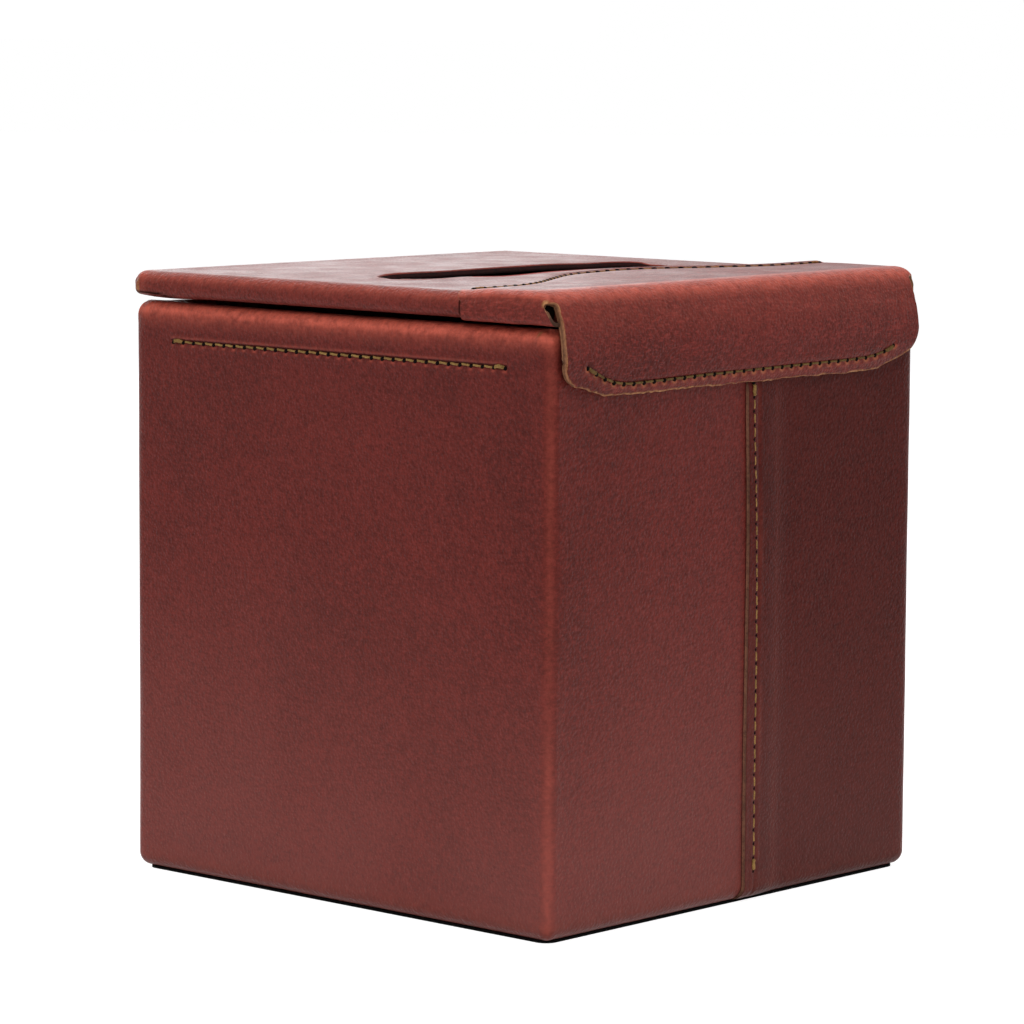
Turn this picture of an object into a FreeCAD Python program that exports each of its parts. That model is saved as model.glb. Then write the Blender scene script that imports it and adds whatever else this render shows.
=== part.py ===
"""Leather-covered cube tissue box with a slotted lid on a leather strap hinge.

Every size is in millimetres. +Z is up, the strap hinge is on the +Y side, and the origin is the centre
of the face that the box stands on. Five boards carry one wrap of leather, which is turned in over the rim
and under the base. The lid is a slotted board in its own leather, and the strap is sewn to the lid's top
and to the back of the box.
"""
import FreeCAD, Part
import math
import os
from types import SimpleNamespace

import Sketcher

SIZES = {
    # The box, outside the leather and without the lid.
    "body_width": 128.8,
    "body_depth": 130.9,
    "body_height": 134.0,
    "corner_radius": 3.0,
    "foot_radius": 3.2,
    "rim_radius": 2.3,
    "rim_inner_radius": 1.5,
    # Sheet materials.
    "leather": 1.6,
    "skived_leather": 1.1,
    "board": 3.0,
    "lining": 1.0,
    "base_sheet": 0.6,
    # How far the leather is turned in, and the gaps left where cut sheets meet.
    "turn_in_depth": 14.0,
    "turn_under": 12.0,
    "base_inset": 2.0,
    "card_gap": 0.5,
    # The lap where the two ends of the wrap meet on the back.
    "lap_edge_offset": 2.2,
    "lap_width": 10.0,
    "lap_step": 0.8,
    "lap_end_gap": 0.2,
    # The lid.
    "lid_gap": 1.4,
    "lid_overhang": 0.6,
    "lid_back_inset": 1.5,
    "lid_edge_radius": 3.0,
    "lid_under_radius": 2.0,
    "lid_back_radius": 4.2,
    "lid_lining": 0.9,
    "lid_lining_inset": 10.5,
    "slot_length": 88.0,
    "slot_width": 16.0,
    "slot_liner_margin": 0.4,
    # The strap hinge.
    "strap": 1.4,
    "strap_side_wrap": 0.6,
    "strap_under_wrap": 2.6,
    "strap_side_length": 27.4,
    "strap_nose_length": 44.4,
    "strap_shoulder_offset": 37.5,
    "strap_nose_offset": 18.5,
    "strap_front_corner": 3.2,
    "strap_bend_radius": 7.0,
    "strap_drop_angle": 25.0,
    "strap_seat_gap": 0.1,
    "flap_width": 124.3,
    "flap_shift": 0.7,
    "flap_drop": 14.6,
    "flap_slope_width": 17.0,
    "flap_slope_height": 4.2,
    "flap_corner_radius": 4.0,
    "flap_slope_radius": 8.0,
    "bend_height": 3.0,
    # Thread.
    "thread_length": 2.5,
    "thread_width": 0.7,
    "thread_rise": 0.4,
    "thread_gap": 0.02,
    "edge_to_stitch": 2.4,
    "stitch_pitch": 3.4,
    "rim_row_drop": 8.7,
    "rim_row_margin": 14.5,
    "rim_row_stitches": 31,
    "seam_row_foot": 7.0,
    "seam_row_stitches": 34,
    "seam_row_edge": 3.5,
    "strap_row_margin": 5.8,
    "flap_row_margin": 9.6,
    "flap_row_rise": 5.4,
    "flap_row_kick": 9.0,
}

# Two lengths closer than this are the same.
SAME = 0.01
# How far a shape that trims another one reaches past it.
SPARE = 1.0
# How much of the room between two corners their arcs take.
ARC_SHARE = 0.98

doc = FreeCAD.newDocument("TissueBox")
sheet = doc.addObject("Spreadsheet::Sheet", "Sizes")
for row, (alias, number) in enumerate(SIZES.items(), start=1):
    sheet.set(f"A{row}", str(number))
    sheet.setAlias(f"A{row}", alias)
doc.recompute()


class Size:
    """A length that knows both its number and the expression over the sheet that it comes from."""

    def __init__(self, text, number):
        self.text = text
        self.number = number

    @staticmethod
    def of(value):
        return value if isinstance(value, Size) else Size(repr(value), value)

    def __add__(self, other):
        other = Size.of(other)
        return Size(f"({self.text} + {other.text})", self.number + other.number)

    def __sub__(self, other):
        other = Size.of(other)
        return Size(f"({self.text} - {other.text})", self.number - other.number)

    def __rmul__(self, factor):
        return Size(f"({factor} * {self.text})", factor * self.number)

    def __truediv__(self, divisor):
        return Size(f"({self.text} / {divisor})", self.number / divisor)

    def __neg__(self):
        return Size(f"(-{self.text})", -self.number)

    def __float__(self):
        return float(self.number)


size = SimpleNamespace(**{alias: Size(f"Sizes.{alias}", sheet.get(alias)) for alias in SIZES})

# Levels above the standing face.
wrap_foot = size.base_sheet
board_foot = wrap_foot + size.skived_leather
wall_foot = board_foot + size.board
floor_top = wall_foot + size.lining
rim = size.body_height
wall_top = rim - size.leather
turn_in_foot = rim - size.turn_in_depth
lid_foot = rim + size.lid_gap
lid_board_foot = lid_foot + size.skived_leather
lid_board_top = lid_board_foot + size.board
lid_top = lid_board_top + size.leather
strap_top = lid_top + size.strap

# Half sizes across the box: the wrap's outer face, the boards' outer and inner faces.
half_width = size.body_width / 2
half_depth = size.body_depth / 2
core_half_width = half_width - size.leather
core_half_depth = half_depth - size.leather
room_half_width = core_half_width - size.board
room_half_depth = core_half_depth - size.board
board_corner = size.corner_radius - size.leather

# The lid's edges, as distances from the origin.
lid_half_width = half_width + size.lid_overhang
lid_front = half_depth + size.lid_overhang
lid_back = half_depth - size.lid_back_inset


def bind(target, prop, value):
    """Tie a property to the sheet."""
    target.setExpression(prop, Size.of(value).text)


def new_body(label):
    """A PartDesign body whose label names its file."""
    body = doc.addObject("PartDesign::Body", label)
    body.Label = label
    return body


def new_sketch(body, role, height=None):
    """A sketch on one of the body's own origin planes, moved along that plane's normal by height."""
    sketch = body.newObject("Sketcher::SketchObject", body.Label + "_sketch")
    plane = next(item for item in body.Origin.OriginFeatures if item.Role == role)
    sketch.AttachmentSupport = [(plane, "")]
    sketch.MapMode = "FlatFace"
    if height is not None:
        bind(sketch, "AttachmentOffset.Base.z", height)
    doc.recompute()
    return sketch


def fix_point(sketch, geometry, point, axis, value):
    """Hold a point at a distance from the sketch's origin along X or Y."""
    kind = "Distance" + axis
    if value.number < 0:
        index = sketch.addConstraint(Sketcher.Constraint(kind, geometry, point, -1, 1, -value.number))
        bind(sketch, f"Constraints[{index}]", -value)
    else:
        index = sketch.addConstraint(Sketcher.Constraint(kind, -1, 1, geometry, point, value.number))
        bind(sketch, f"Constraints[{index}]", value)


def draw_rectangle(sketch, left, right, low, high, radii=(None, None, None, None)):
    """A rectangle whose corners, counted from the lower left one, may each be rounded."""
    corners = [(left, low), (right, low), (right, high), (left, high)]
    points = [FreeCAD.Vector(float(across), float(up), 0) for across, up in corners]
    reach = [float(radius) if radius else 0.0 for radius in radii]
    steps = [(points[(i + 1) % 4] - points[i]).normalize() for i in range(4)]
    sides = []
    for i in range(4):
        start = points[i] + steps[i] * reach[i]
        end = points[(i + 1) % 4] - steps[i] * reach[(i + 1) % 4]
        sides.append(sketch.addGeometry(Part.LineSegment(start, end), False))
        direction = "Horizontal" if i % 2 == 0 else "Vertical"
        sketch.addConstraint(Sketcher.Constraint(direction, sides[i]))
    for i in range(4):
        before, after = sides[i - 1], sides[i]
        if not radii[i]:
            sketch.addConstraint(Sketcher.Constraint("Coincident", before, 2, after, 1))
            continue
        centre = points[i] + (steps[i] - steps[i - 1]) * reach[i]
        start_angle = math.pi + i * math.pi / 2
        circle = Part.Circle(centre, FreeCAD.Vector(0, 0, 1), reach[i])
        arc = sketch.addGeometry(Part.ArcOfCircle(circle, start_angle, start_angle + math.pi / 2), False)
        sketch.addConstraint(Sketcher.Constraint("Tangent", before, 2, arc, 1))
        sketch.addConstraint(Sketcher.Constraint("Tangent", arc, 2, after, 1))
        index = sketch.addConstraint(Sketcher.Constraint("Radius", arc, reach[i]))
        bind(sketch, f"Constraints[{index}]", radii[i])
    fix_point(sketch, sides[0], 1, "Y", low)
    fix_point(sketch, sides[1], 1, "X", right)
    fix_point(sketch, sides[2], 1, "Y", high)
    fix_point(sketch, sides[3], 1, "X", left)
    doc.recompute()


def draw_slot(sketch, length, width):
    """A slot with round ends, centred on the sketch's origin, along X."""
    radius = float(width) / 2
    reach = float(length) / 2 - radius
    up = FreeCAD.Vector(0, radius, 0)
    left = FreeCAD.Vector(-reach, 0, 0)
    right = FreeCAD.Vector(reach, 0, 0)
    normal = FreeCAD.Vector(0, 0, 1)
    low = sketch.addGeometry(Part.LineSegment(left - up, right - up), False)
    east = sketch.addGeometry(
        Part.ArcOfCircle(Part.Circle(right, normal, radius), -math.pi / 2, math.pi / 2), False)
    high = sketch.addGeometry(Part.LineSegment(right + up, left + up), False)
    west = sketch.addGeometry(
        Part.ArcOfCircle(Part.Circle(left, normal, radius), math.pi / 2, 3 * math.pi / 2), False)
    for first, second in ((low, east), (east, high), (high, west), (west, low)):
        sketch.addConstraint(Sketcher.Constraint("Tangent", first, 2, second, 1))
    sketch.addConstraint(Sketcher.Constraint("Horizontal", low))
    sketch.addConstraint(Sketcher.Constraint("PointOnObject", east, 3, -1))
    sketch.addConstraint(Sketcher.Constraint("Symmetric", east, 3, west, 3, -1, 1))
    index = sketch.addConstraint(Sketcher.Constraint("Radius", east, radius))
    bind(sketch, f"Constraints[{index}]", Size.of(width) / 2)
    fix_point(sketch, east, 3, "X", (length - width) / 2)
    doc.recompute()


def add_pad(body, sketch, length, both_ways=False):
    """Pad a sketch along its normal, or evenly to both sides of it."""
    pad = body.newObject("PartDesign::Pad", body.Label + "_pad")
    pad.Profile = sketch
    pad.Midplane = both_ways
    bind(pad, "Length", length)
    doc.recompute()
    return pad


def add_pocket(body, sketch, depth=None):
    """Cut a sketch upwards from its plane, to a depth or right through, and check that it cuts."""
    before = body.Shape.Volume
    pocket = body.newObject("PartDesign::Pocket", body.Label + "_pocket")
    pocket.Profile = sketch
    pocket.Reversed = True
    if depth is None:
        pocket.Type = "ThroughAll"
    else:
        bind(pocket, "Length", depth)
    doc.recompute()
    if body.Shape.Volume >= before:
        raise RuntimeError(f"{pocket.Label} cuts nothing")
    return pocket


def add_fillet(body, base, radius, wanted):
    """Round the edges of a feature that the test called wanted picks out."""
    names = [f"Edge{i}" for i, edge in enumerate(base.Shape.Edges, start=1) if wanted(edge)]
    fillet = body.newObject("PartDesign::Fillet", body.Label + "_fillet")
    fillet.Base = (base, names)
    bind(fillet, "Radius", radius)
    doc.recompute()
    return fillet


def is_near(value, target):
    """Whether two lengths agree to a hundredth of a millimetre."""
    return abs(float(value) - float(target)) < SAME


def lies_at(edge, height):
    """Whether an edge lies flat at a height."""
    box = edge.BoundBox
    return is_near(box.ZMin, height) and is_near(box.ZMax, height)


def make_sheet(label, left, right, front, back, foot, thickness, radii=(None, None, None, None)):
    """A flat board, card or lining cut to a rectangle, lying or standing on its foot level."""
    body = new_body(label)
    sketch = new_sketch(body, "XY_Plane", foot)
    draw_rectangle(sketch, left, right, front, back, radii)
    add_pad(body, sketch, thickness)
    return body


def make_boards():
    """The bottom board with the four wall boards standing on it."""
    bottom = new_body("board_bottom")
    sketch = new_sketch(bottom, "XY_Plane", board_foot)
    draw_rectangle(sketch, -core_half_width, core_half_width, -core_half_depth, core_half_depth,
                   [board_corner] * 4)
    pad = add_pad(bottom, sketch, size.board)
    add_fillet(bottom, pad, size.foot_radius - size.leather, lambda edge: lies_at(edge, board_foot))
    height = wall_top - wall_foot
    make_sheet("board_left", -core_half_width, -room_half_width, -room_half_depth, room_half_depth,
               wall_foot, height)
    make_sheet("board_right", room_half_width, core_half_width, -room_half_depth, room_half_depth,
               wall_foot, height)
    make_sheet("board_front", -core_half_width, core_half_width, -core_half_depth, -room_half_depth,
               wall_foot, height, (board_corner, board_corner, None, None))
    make_sheet("board_back", -core_half_width, core_half_width, room_half_depth, core_half_depth,
               wall_foot, height, (None, None, board_corner, board_corner))


def make_wrap():
    """One wrap of leather round the walls, turned in over the rim and under the base, lapped behind."""
    body = new_body("body_leather")
    sketch = new_sketch(body, "XY_Plane", wrap_foot)
    draw_rectangle(sketch, -half_width, half_width, -half_depth, half_depth, [size.corner_radius] * 4)
    block = add_pad(body, sketch, rim - wrap_foot)
    foot = add_fillet(body, block, size.foot_radius, lambda edge: lies_at(edge, wrap_foot))
    add_fillet(body, foot, size.rim_radius, lambda edge: lies_at(edge, rim))

    # The free end of the wrap overlaps the other one and is raised where it does.
    lap = new_sketch(body, "YZ_Plane", -(size.lap_edge_offset + size.lap_width))
    draw_rectangle(lap, room_half_depth, half_depth + size.lap_step,
                   wrap_foot + size.foot_radius + size.lap_end_gap, rim - size.flap_drop - size.lap_end_gap)
    add_pad(body, lap, size.lap_width)

    # Room for the contents, opened from the bottom board to above the rim.
    clear = new_sketch(body, "XY_Plane", board_foot)
    draw_rectangle(clear, size.skived_leather - room_half_width, room_half_width - size.skived_leather,
                   size.skived_leather - room_half_depth, room_half_depth - size.skived_leather)
    opened = add_pocket(body, clear)
    add_fillet(body, opened, size.rim_inner_radius, lambda edge: is_inner_rim(edge))

    # Room for the bottom board and the linings, up to the turned-in edge.
    lower = new_sketch(body, "XY_Plane", board_foot)
    draw_rectangle(lower, -room_half_width, room_half_width, -room_half_depth, room_half_depth)
    add_pocket(body, lower, turn_in_foot - board_foot)

    # Room for the wall boards, inside the outer leather and under the rim.
    walls = new_sketch(body, "XY_Plane", board_foot)
    draw_rectangle(walls, -core_half_width, core_half_width, -core_half_depth, core_half_depth,
                   [board_corner] * 4)
    draw_rectangle(walls, -room_half_width, room_half_width, -room_half_depth, room_half_depth)
    board_room = add_pocket(body, walls, wall_top - board_foot)
    add_fillet(body, board_room, size.foot_radius - size.leather, lambda edge: is_board_foot(edge))

    # The opening that the turned-under leather leaves in the base.
    base = new_sketch(body, "XY_Plane", wrap_foot)
    draw_rectangle(base, size.turn_under - half_width, half_width - size.turn_under,
                   size.turn_under - half_depth, half_depth - size.turn_under)
    add_pocket(body, base, size.skived_leather)


def is_inner_rim(edge):
    """Whether an edge of the wrap is the inner edge of its rim."""
    box = edge.BoundBox
    return (lies_at(edge, rim) and max(abs(box.XMin), abs(box.XMax)) < float(room_half_width)
            and max(abs(box.YMin), abs(box.YMax)) < float(room_half_depth))


def is_board_foot(edge):
    """Whether an edge of the wrap is where the bottom board's lower outer edge lies."""
    box = edge.BoundBox
    return lies_at(edge, board_foot) and (max(abs(box.XMin), abs(box.XMax)) > float(room_half_width)
                                          or max(abs(box.YMin), abs(box.YMax)) > float(room_half_depth))


def make_base():
    """The card that fills the base between the turned-under leather, and the sheet that covers both."""
    card_half_width = half_width - size.turn_under - size.card_gap
    card_half_depth = half_depth - size.turn_under - size.card_gap
    make_sheet("base_infill_card", -card_half_width, card_half_width, -card_half_depth, card_half_depth,
               wrap_foot, size.skived_leather)
    cover_half_width = half_width - size.base_inset
    cover_half_depth = half_depth - size.base_inset
    make_sheet("base_cover", -cover_half_width, cover_half_width, -cover_half_depth, cover_half_depth,
               Size.of(0.0), size.base_sheet, [size.corner_radius] * 4)


def make_linings():
    """The floor lining and the four wall linings that end at the turned-in leather."""
    make_sheet("lining_floor", -room_half_width, room_half_width, -room_half_depth, room_half_depth,
               wall_foot, size.lining)
    height = turn_in_foot - floor_top
    inner_half_width = room_half_width - size.lining
    inner_half_depth = room_half_depth - size.lining
    make_sheet("lining_left", -room_half_width, -inner_half_width, -room_half_depth, room_half_depth,
               floor_top, height)
    make_sheet("lining_right", inner_half_width, room_half_width, -room_half_depth, room_half_depth,
               floor_top, height)
    make_sheet("lining_front", -inner_half_width, inner_half_width, -room_half_depth, -inner_half_depth,
               floor_top, height)
    make_sheet("lining_back", -inner_half_width, inner_half_width, inner_half_depth, room_half_depth,
               floor_top, height)


def make_straight_row(label, role, face, middle, level, length, stitches, upright=False):
    """A straight row of stitches lying on a wall.

    The wall is the plane at the distance face along the normal of the origin plane named by role. The row
    is centred on middle at the height level, or stands on that height when it is upright.
    """
    body = new_body(label)
    body.AllowCompound = True
    sketch = new_sketch(body, role, face)
    half_wide = size.thread_width / 2
    if upright:
        draw_rectangle(sketch, middle - half_wide, middle + half_wide, level, level + size.thread_length)
    else:
        first = middle - (length + size.thread_length) / 2
        draw_rectangle(sketch, first, first + size.thread_length, level - half_wide, level + half_wide)
    pad = add_pad(body, sketch, size.thread_rise)
    pad.Reversed = face.number < 0
    doc.recompute()
    pattern = body.newObject("PartDesign::LinearPattern", label + "_pattern")
    pattern.Originals = [pad]
    pattern.Direction = (sketch, ["V_Axis" if upright else "H_Axis"])
    bind(pattern, "Length", length)
    bind(pattern, "Occurrences", stitches)
    body.Tip = pattern
    doc.recompute()
    return body


def make_wall_threads():
    """The rows that hold the turned-in leather below the rim, and the row up the lap on the back."""
    centre = Size.of(0.0)
    level = rim - size.rim_row_drop
    side_length = size.body_depth - 2 * size.rim_row_margin
    front_length = size.body_width - 2 * size.rim_row_margin
    make_straight_row("rim_stitching_right", "YZ_Plane", half_width, centre, level, side_length,
                      size.rim_row_stitches)
    make_straight_row("rim_stitching_left", "YZ_Plane", -half_width, centre, level, side_length,
                      size.rim_row_stitches)
    make_straight_row("rim_stitching_front", "XZ_Plane", half_depth, centre, level, front_length,
                      size.rim_row_stitches)
    seam_face = -(half_depth + size.lap_step)
    seam_length = rim - size.flap_drop - size.seam_row_foot - 2 * size.thread_length
    make_straight_row("back_seam_stitching", "XZ_Plane", seam_face,
                      -(size.lap_edge_offset + size.seam_row_edge), size.seam_row_foot, seam_length,
                      size.seam_row_stitches, upright=True)


def add_trim(body, role, left, right, low, high, radii):
    """Round a block off to a rectangle seen along one axis, by cutting away all that lies outside it."""
    margin = size.board
    sketch = new_sketch(body, role)
    draw_rectangle(sketch, left - margin, right + margin, low - margin, high + margin)
    draw_rectangle(sketch, left, right, low, high, radii)
    pocket = add_pocket(body, sketch)
    pocket.Midplane = True
    doc.recompute()


def cut_slot(body, margin):
    """Cut the tissue slot right through a lid piece."""
    sketch = new_sketch(body, "XY_Plane", rim)
    draw_slot(sketch, size.slot_length + 2 * margin, size.slot_width + 2 * margin)
    add_pocket(body, sketch)


def make_lid():
    """The lid's board, its leather with turned-in edges, the card between them and the lining."""
    no_margin = Size.of(0.0)
    board_half_width = lid_half_width - size.leather
    board_front = lid_front - size.leather
    board_back = lid_back - size.leather
    board = make_sheet("lid_board", -board_half_width, board_half_width, -board_front, board_back,
                       lid_board_foot, size.board, [board_corner] * 4)
    cut_slot(board, no_margin)

    leather = new_body("lid_leather")
    plan = new_sketch(leather, "XY_Plane", lid_foot)
    draw_rectangle(plan, -lid_half_width, lid_half_width, -lid_front, lid_back, [size.corner_radius] * 4)
    add_pad(leather, plan, lid_top - lid_foot)
    under = size.lid_under_radius
    edge = size.lid_edge_radius
    add_trim(leather, "YZ_Plane", -lid_front, lid_back, lid_foot, lid_top,
             (under, None, size.lid_back_radius, edge))
    add_trim(leather, "XZ_Plane", -lid_half_width, lid_half_width, lid_foot, lid_top,
             (under, under, edge, edge))
    board_room = new_sketch(leather, "XY_Plane", lid_board_foot)
    draw_rectangle(board_room, -board_half_width, board_half_width, -board_front, board_back,
                   [board_corner] * 4)
    add_pocket(leather, board_room, size.board)
    opening_half_width = lid_half_width - size.turn_under
    opening_front = lid_front - size.turn_under
    opening_back = lid_back - size.turn_under
    opening = new_sketch(leather, "XY_Plane", lid_foot)
    draw_rectangle(opening, -opening_half_width, opening_half_width, -opening_front, opening_back)
    add_pocket(leather, opening, size.skived_leather)
    cut_slot(leather, no_margin)

    gap = size.card_gap
    card = make_sheet("lid_infill_card", gap - opening_half_width, opening_half_width - gap,
                      gap - opening_front, opening_back - gap, lid_foot, size.skived_leather)
    cut_slot(card, no_margin)
    inset = size.lid_lining_inset
    lining = make_sheet("lid_lining", inset - lid_half_width, lid_half_width - inset, inset - lid_front,
                        lid_back - inset, lid_foot - size.lid_lining, size.lid_lining)
    cut_slot(lining, size.slot_liner_margin)


def vector_in_plan(across, along):
    """A point seen from above."""
    return FreeCAD.Vector(across, along, 0)


def vector_in_side(along, up):
    """A point seen from the side."""
    return FreeCAD.Vector(0, along, up)


def vector_in_back(across, up):
    """A point seen from behind."""
    return FreeCAD.Vector(across, 0, up)


def rounded_path(corners, place):
    """The edges through a list of (x, y, radius) corners, with an arc at each corner that has a radius."""
    points = [place(across, up) for across, up, _ in corners]
    edges = []
    last = points[0]
    for i in range(1, len(points) - 1):
        radius = corners[i][2]
        if not radius:
            edges.append(Part.LineSegment(last, points[i]).toShape())
            last = points[i]
            continue
        arriving = (points[i] - points[i - 1]).normalize()
        leaving = (points[i + 1] - points[i]).normalize()
        half_turn = arriving.getAngle(leaving) / 2
        reach = radius * math.tan(half_turn)
        start = points[i] - arriving * reach
        end = points[i] + leaving * reach
        inward = (leaving - arriving).normalize()
        middle = points[i] + inward * (radius / math.cos(half_turn) - radius)
        edges.append(Part.LineSegment(last, start).toShape())
        edges.append(Part.Arc(start, middle, end).toShape())
        last = end
    edges.append(Part.LineSegment(last, points[-1]).toShape())
    return Part.Wire(edges)


def prism(wire, sweep):
    """The solid that a closed outline sweeps out from both sides of its own plane."""
    face = Part.Face(wire)
    face.translate(sweep * -0.5)
    return face.extrude(sweep)


def block(left, right, front, back, foot, top):
    """A box between six planes."""
    corner = FreeCAD.Vector(left, front, foot)
    return Part.makeBox(right - left, back - front, top - foot, corner)


def strap_curves():
    """The strap's two outer arcs, seen from the side, and the height where the hinge bends.

    The first arc carries the strap over the lid's back edge. The second drops from there to the back of
    the box, and is as large as it has to be for the strap's inner face to land on the back.
    """
    bend = FreeCAD.Vector(float(lid_back - size.lid_back_radius), float(strap_top - size.strap_bend_radius))
    lean = math.radians(float(size.strap_drop_angle))
    spoke = FreeCAD.Vector(math.cos(lean), math.sin(lean))
    meeting = bend + spoke * float(size.strap_bend_radius)
    seat = FreeCAD.Vector(float(half_depth + size.strap_seat_gap), float(rim - size.flap_drop))
    chord = seat - meeting
    thick = float(size.strap)
    drop_radius = (chord.dot(chord) - thick ** 2) / (-2 * chord.dot(spoke) - 2 * thick)
    drop = meeting - spoke * drop_radius
    return SimpleNamespace(bend=bend, lean=lean, drop=drop, drop_radius=drop_radius,
                           pivot_height=float(rim + size.lid_gap / 2))


def drop_face(curves, up, inset=0.0):
    """How far back the strap's dropping face lies at a height, or a face inset from it."""
    return curves.drop.x + math.sqrt((curves.drop_radius - inset) ** 2 - (up - curves.drop.y) ** 2)


def strap_side_outline(curves, inset, front, foot):
    """The outline under the strap's outer face, or under a face inset from it, seen from the side."""
    radius = float(size.strap_bend_radius) - inset
    drop_radius = curves.drop_radius - inset
    top = curves.bend.y + radius

    def on_bend(angle):
        return vector_in_side(curves.bend.x + radius * math.cos(angle),
                              curves.bend.y + radius * math.sin(angle))

    def on_drop(up):
        return vector_in_side(drop_face(curves, up, inset), up)

    joint = on_bend(curves.lean)
    middle_angle = (math.pi / 2 + curves.lean) / 2
    over = vector_in_side(curves.bend.x, top)
    edges = [
        Part.LineSegment(vector_in_side(front, foot), vector_in_side(front, top)).toShape(),
        Part.LineSegment(vector_in_side(front, top), over).toShape(),
        Part.Arc(over, on_bend(middle_angle), joint).toShape(),
        Part.Arc(joint, on_drop((joint.z + foot) / 2), on_drop(foot)).toShape(),
        Part.LineSegment(on_drop(foot), vector_in_side(front, foot)).toShape(),
    ]
    return Part.Wire(edges)


def strap_end_outline(half, foot, top, under_radius, edge_radius):
    """A rounded rectangle seen from behind, for the lid or for the leather wrapped round it."""
    corners = [(0.0, foot, 0), (half, foot, under_radius), (half, top, edge_radius),
               (-half, top, edge_radius), (-half, foot, under_radius), (0.0, foot, 0)]
    return rounded_path(corners, vector_in_back)


def tongue_corners(inset):
    """The corners of the strap's front edge on the lid, or of a line inset from it, from +X to -X."""
    side = float(lid_back - size.strap_side_length) + inset
    nose = float(lid_back - size.strap_nose_length) + inset
    outer = float(size.strap_shoulder_offset)
    inner = float(size.strap_nose_offset)
    slope = math.atan2(side - nose, outer - inner)
    shift = inset * math.tan(slope / 2)
    radius = ARC_SHARE * math.hypot(side - nose, outer - inner) / 2 / math.tan(slope / 2)
    right = [(outer - shift, side, radius), (inner - shift, nose, radius)]
    return right + [(-across, along, radius) for across, along, radius in reversed(right)]


def make_strap(curves):
    """The strap in three pieces: sewn on the lid, bending at the gap, and sewn on the back of the box."""
    strap = float(size.strap)
    wrap = float(size.strap_side_wrap)
    lid_half = float(lid_half_width)
    lid_low = float(lid_foot)
    lid_rear = float(lid_back)
    bend_foot = curves.pivot_height - float(size.bend_height) / 2
    bend_top = curves.pivot_height + float(size.bend_height) / 2
    flap_foot = float(rim - size.flap_drop)
    flap_left = float(size.flap_shift - size.flap_width / 2)
    flap_right = float(size.flap_shift + size.flap_width / 2)
    far = float(size.body_width)
    across = FreeCAD.Vector(2 * far, 0, 0)
    along = FreeCAD.Vector(0, 4 * far, 0)

    # The strap's section from the lid's middle to the flap's lower edge.
    outer_side = prism(strap_side_outline(curves, 0.0, 0.0, flap_foot), across)
    inner_side = prism(strap_side_outline(curves, strap, -SPARE, flap_foot - SPARE), across)

    # On the lid the leather also goes round the lid's sides and a little way under them.
    outer_end = prism(
        strap_end_outline(lid_half + wrap, lid_low - wrap, float(strap_top),
                          float(size.lid_under_radius) + wrap, float(size.lid_edge_radius) + wrap), along)
    inner_end = prism(
        strap_end_outline(lid_half, lid_low, float(lid_top), float(size.lid_under_radius),
                          float(size.lid_edge_radius)), along)
    under_half = lid_half - float(size.strap_under_wrap)
    under = block(-under_half, under_half, -SPARE, far, lid_low - 2 * wrap, lid_low + wrap)
    cover = outer_side.common(outer_end)
    over_lid = block(-far, far, -SPARE, lid_rear, 0.0, 2 * far)
    on_lid = cover.cut(inner_side.common(inner_end)).cut(under).common(over_lid)
    past_lid = block(flap_left, flap_right, lid_rear, far, bend_top, 2 * far)
    behind_lid = cover.cut(inner_side).common(past_lid)

    # Seen from above, its front edge runs from each side round a shoulder to the nose by the slot.
    wrap_front = lid_rear - float(size.strap_side_length) + float(size.strap_front_corner)
    side_front = wrap_front - float(size.strap_front_corner)
    wide = lid_half + 2 * wrap
    corner_at = lid_half + wrap / 2
    plan = [(0.0, far, 0), (wide, far, 0), (wide, wrap_front, 0), (corner_at, wrap_front, 0),
            (corner_at - float(size.strap_front_corner), side_front, float(size.strap_front_corner) / 2)]
    plan += tongue_corners(0.0)
    plan += [(-across_at, along_at, radius) for across_at, along_at, radius in reversed(plan[1:5])]
    plan += [(0.0, far, 0)]
    tongue = prism(rounded_path(plan, vector_in_plan), FreeCAD.Vector(0, 0, 4 * far))
    lid_leaf = on_lid.common(tongue).fuse(behind_lid).removeSplitter()

    # The flap hangs from the bend and is cut with two sloping corners.
    band = outer_side.cut(inner_side)
    slope_foot = flap_foot + float(size.flap_slope_height)
    slope = float(size.flap_slope_width)
    corner = float(size.flap_corner_radius)
    soft = float(size.flap_slope_radius)
    flap = [(0.0, bend_foot, 0), (flap_left, bend_foot, 0), (flap_left, slope_foot, corner),
            (flap_left + slope, flap_foot, soft), (flap_right - slope, flap_foot, soft),
            (flap_right, slope_foot, corner), (flap_right, bend_foot, 0), (0.0, bend_foot, 0)]
    body_leaf = band.common(prism(rounded_path(flap, vector_in_back), along))
    body_leaf = body_leaf.common(block(flap_left, flap_right, lid_rear, far, 0.0, far * 2))
    bend = band.common(block(flap_left, flap_right, lid_rear, far, bend_foot, bend_top))

    add_shape("hinge_lid_leaf", lid_leaf)
    add_shape("hinge_bend", bend)
    add_shape("hinge_body_leaf", body_leaf)


def add_shape(label, shape):
    """A document object for a shape made with Part's own functions."""
    solids = shape.Solids
    item = doc.addObject("Part::Feature", label)
    item.Label = label
    item.Shape = solids[0] if len(solids) == 1 else Part.makeCompound(solids)
    item.Placement = FreeCAD.Placement()
    return item


def stitch(place, along, outward):
    """One stitch lying on a surface, with its middle at a point."""
    length = float(size.thread_length)
    width = float(size.thread_width)
    bar = Part.makeBox(length, width, float(size.thread_rise),
                       FreeCAD.Vector(-length / 2, -width / 2, float(size.thread_gap)))
    turn = FreeCAD.Rotation(along, outward.cross(along), outward, "ZXY")
    bar.Placement = FreeCAD.Placement(place, turn)
    return bar


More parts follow.
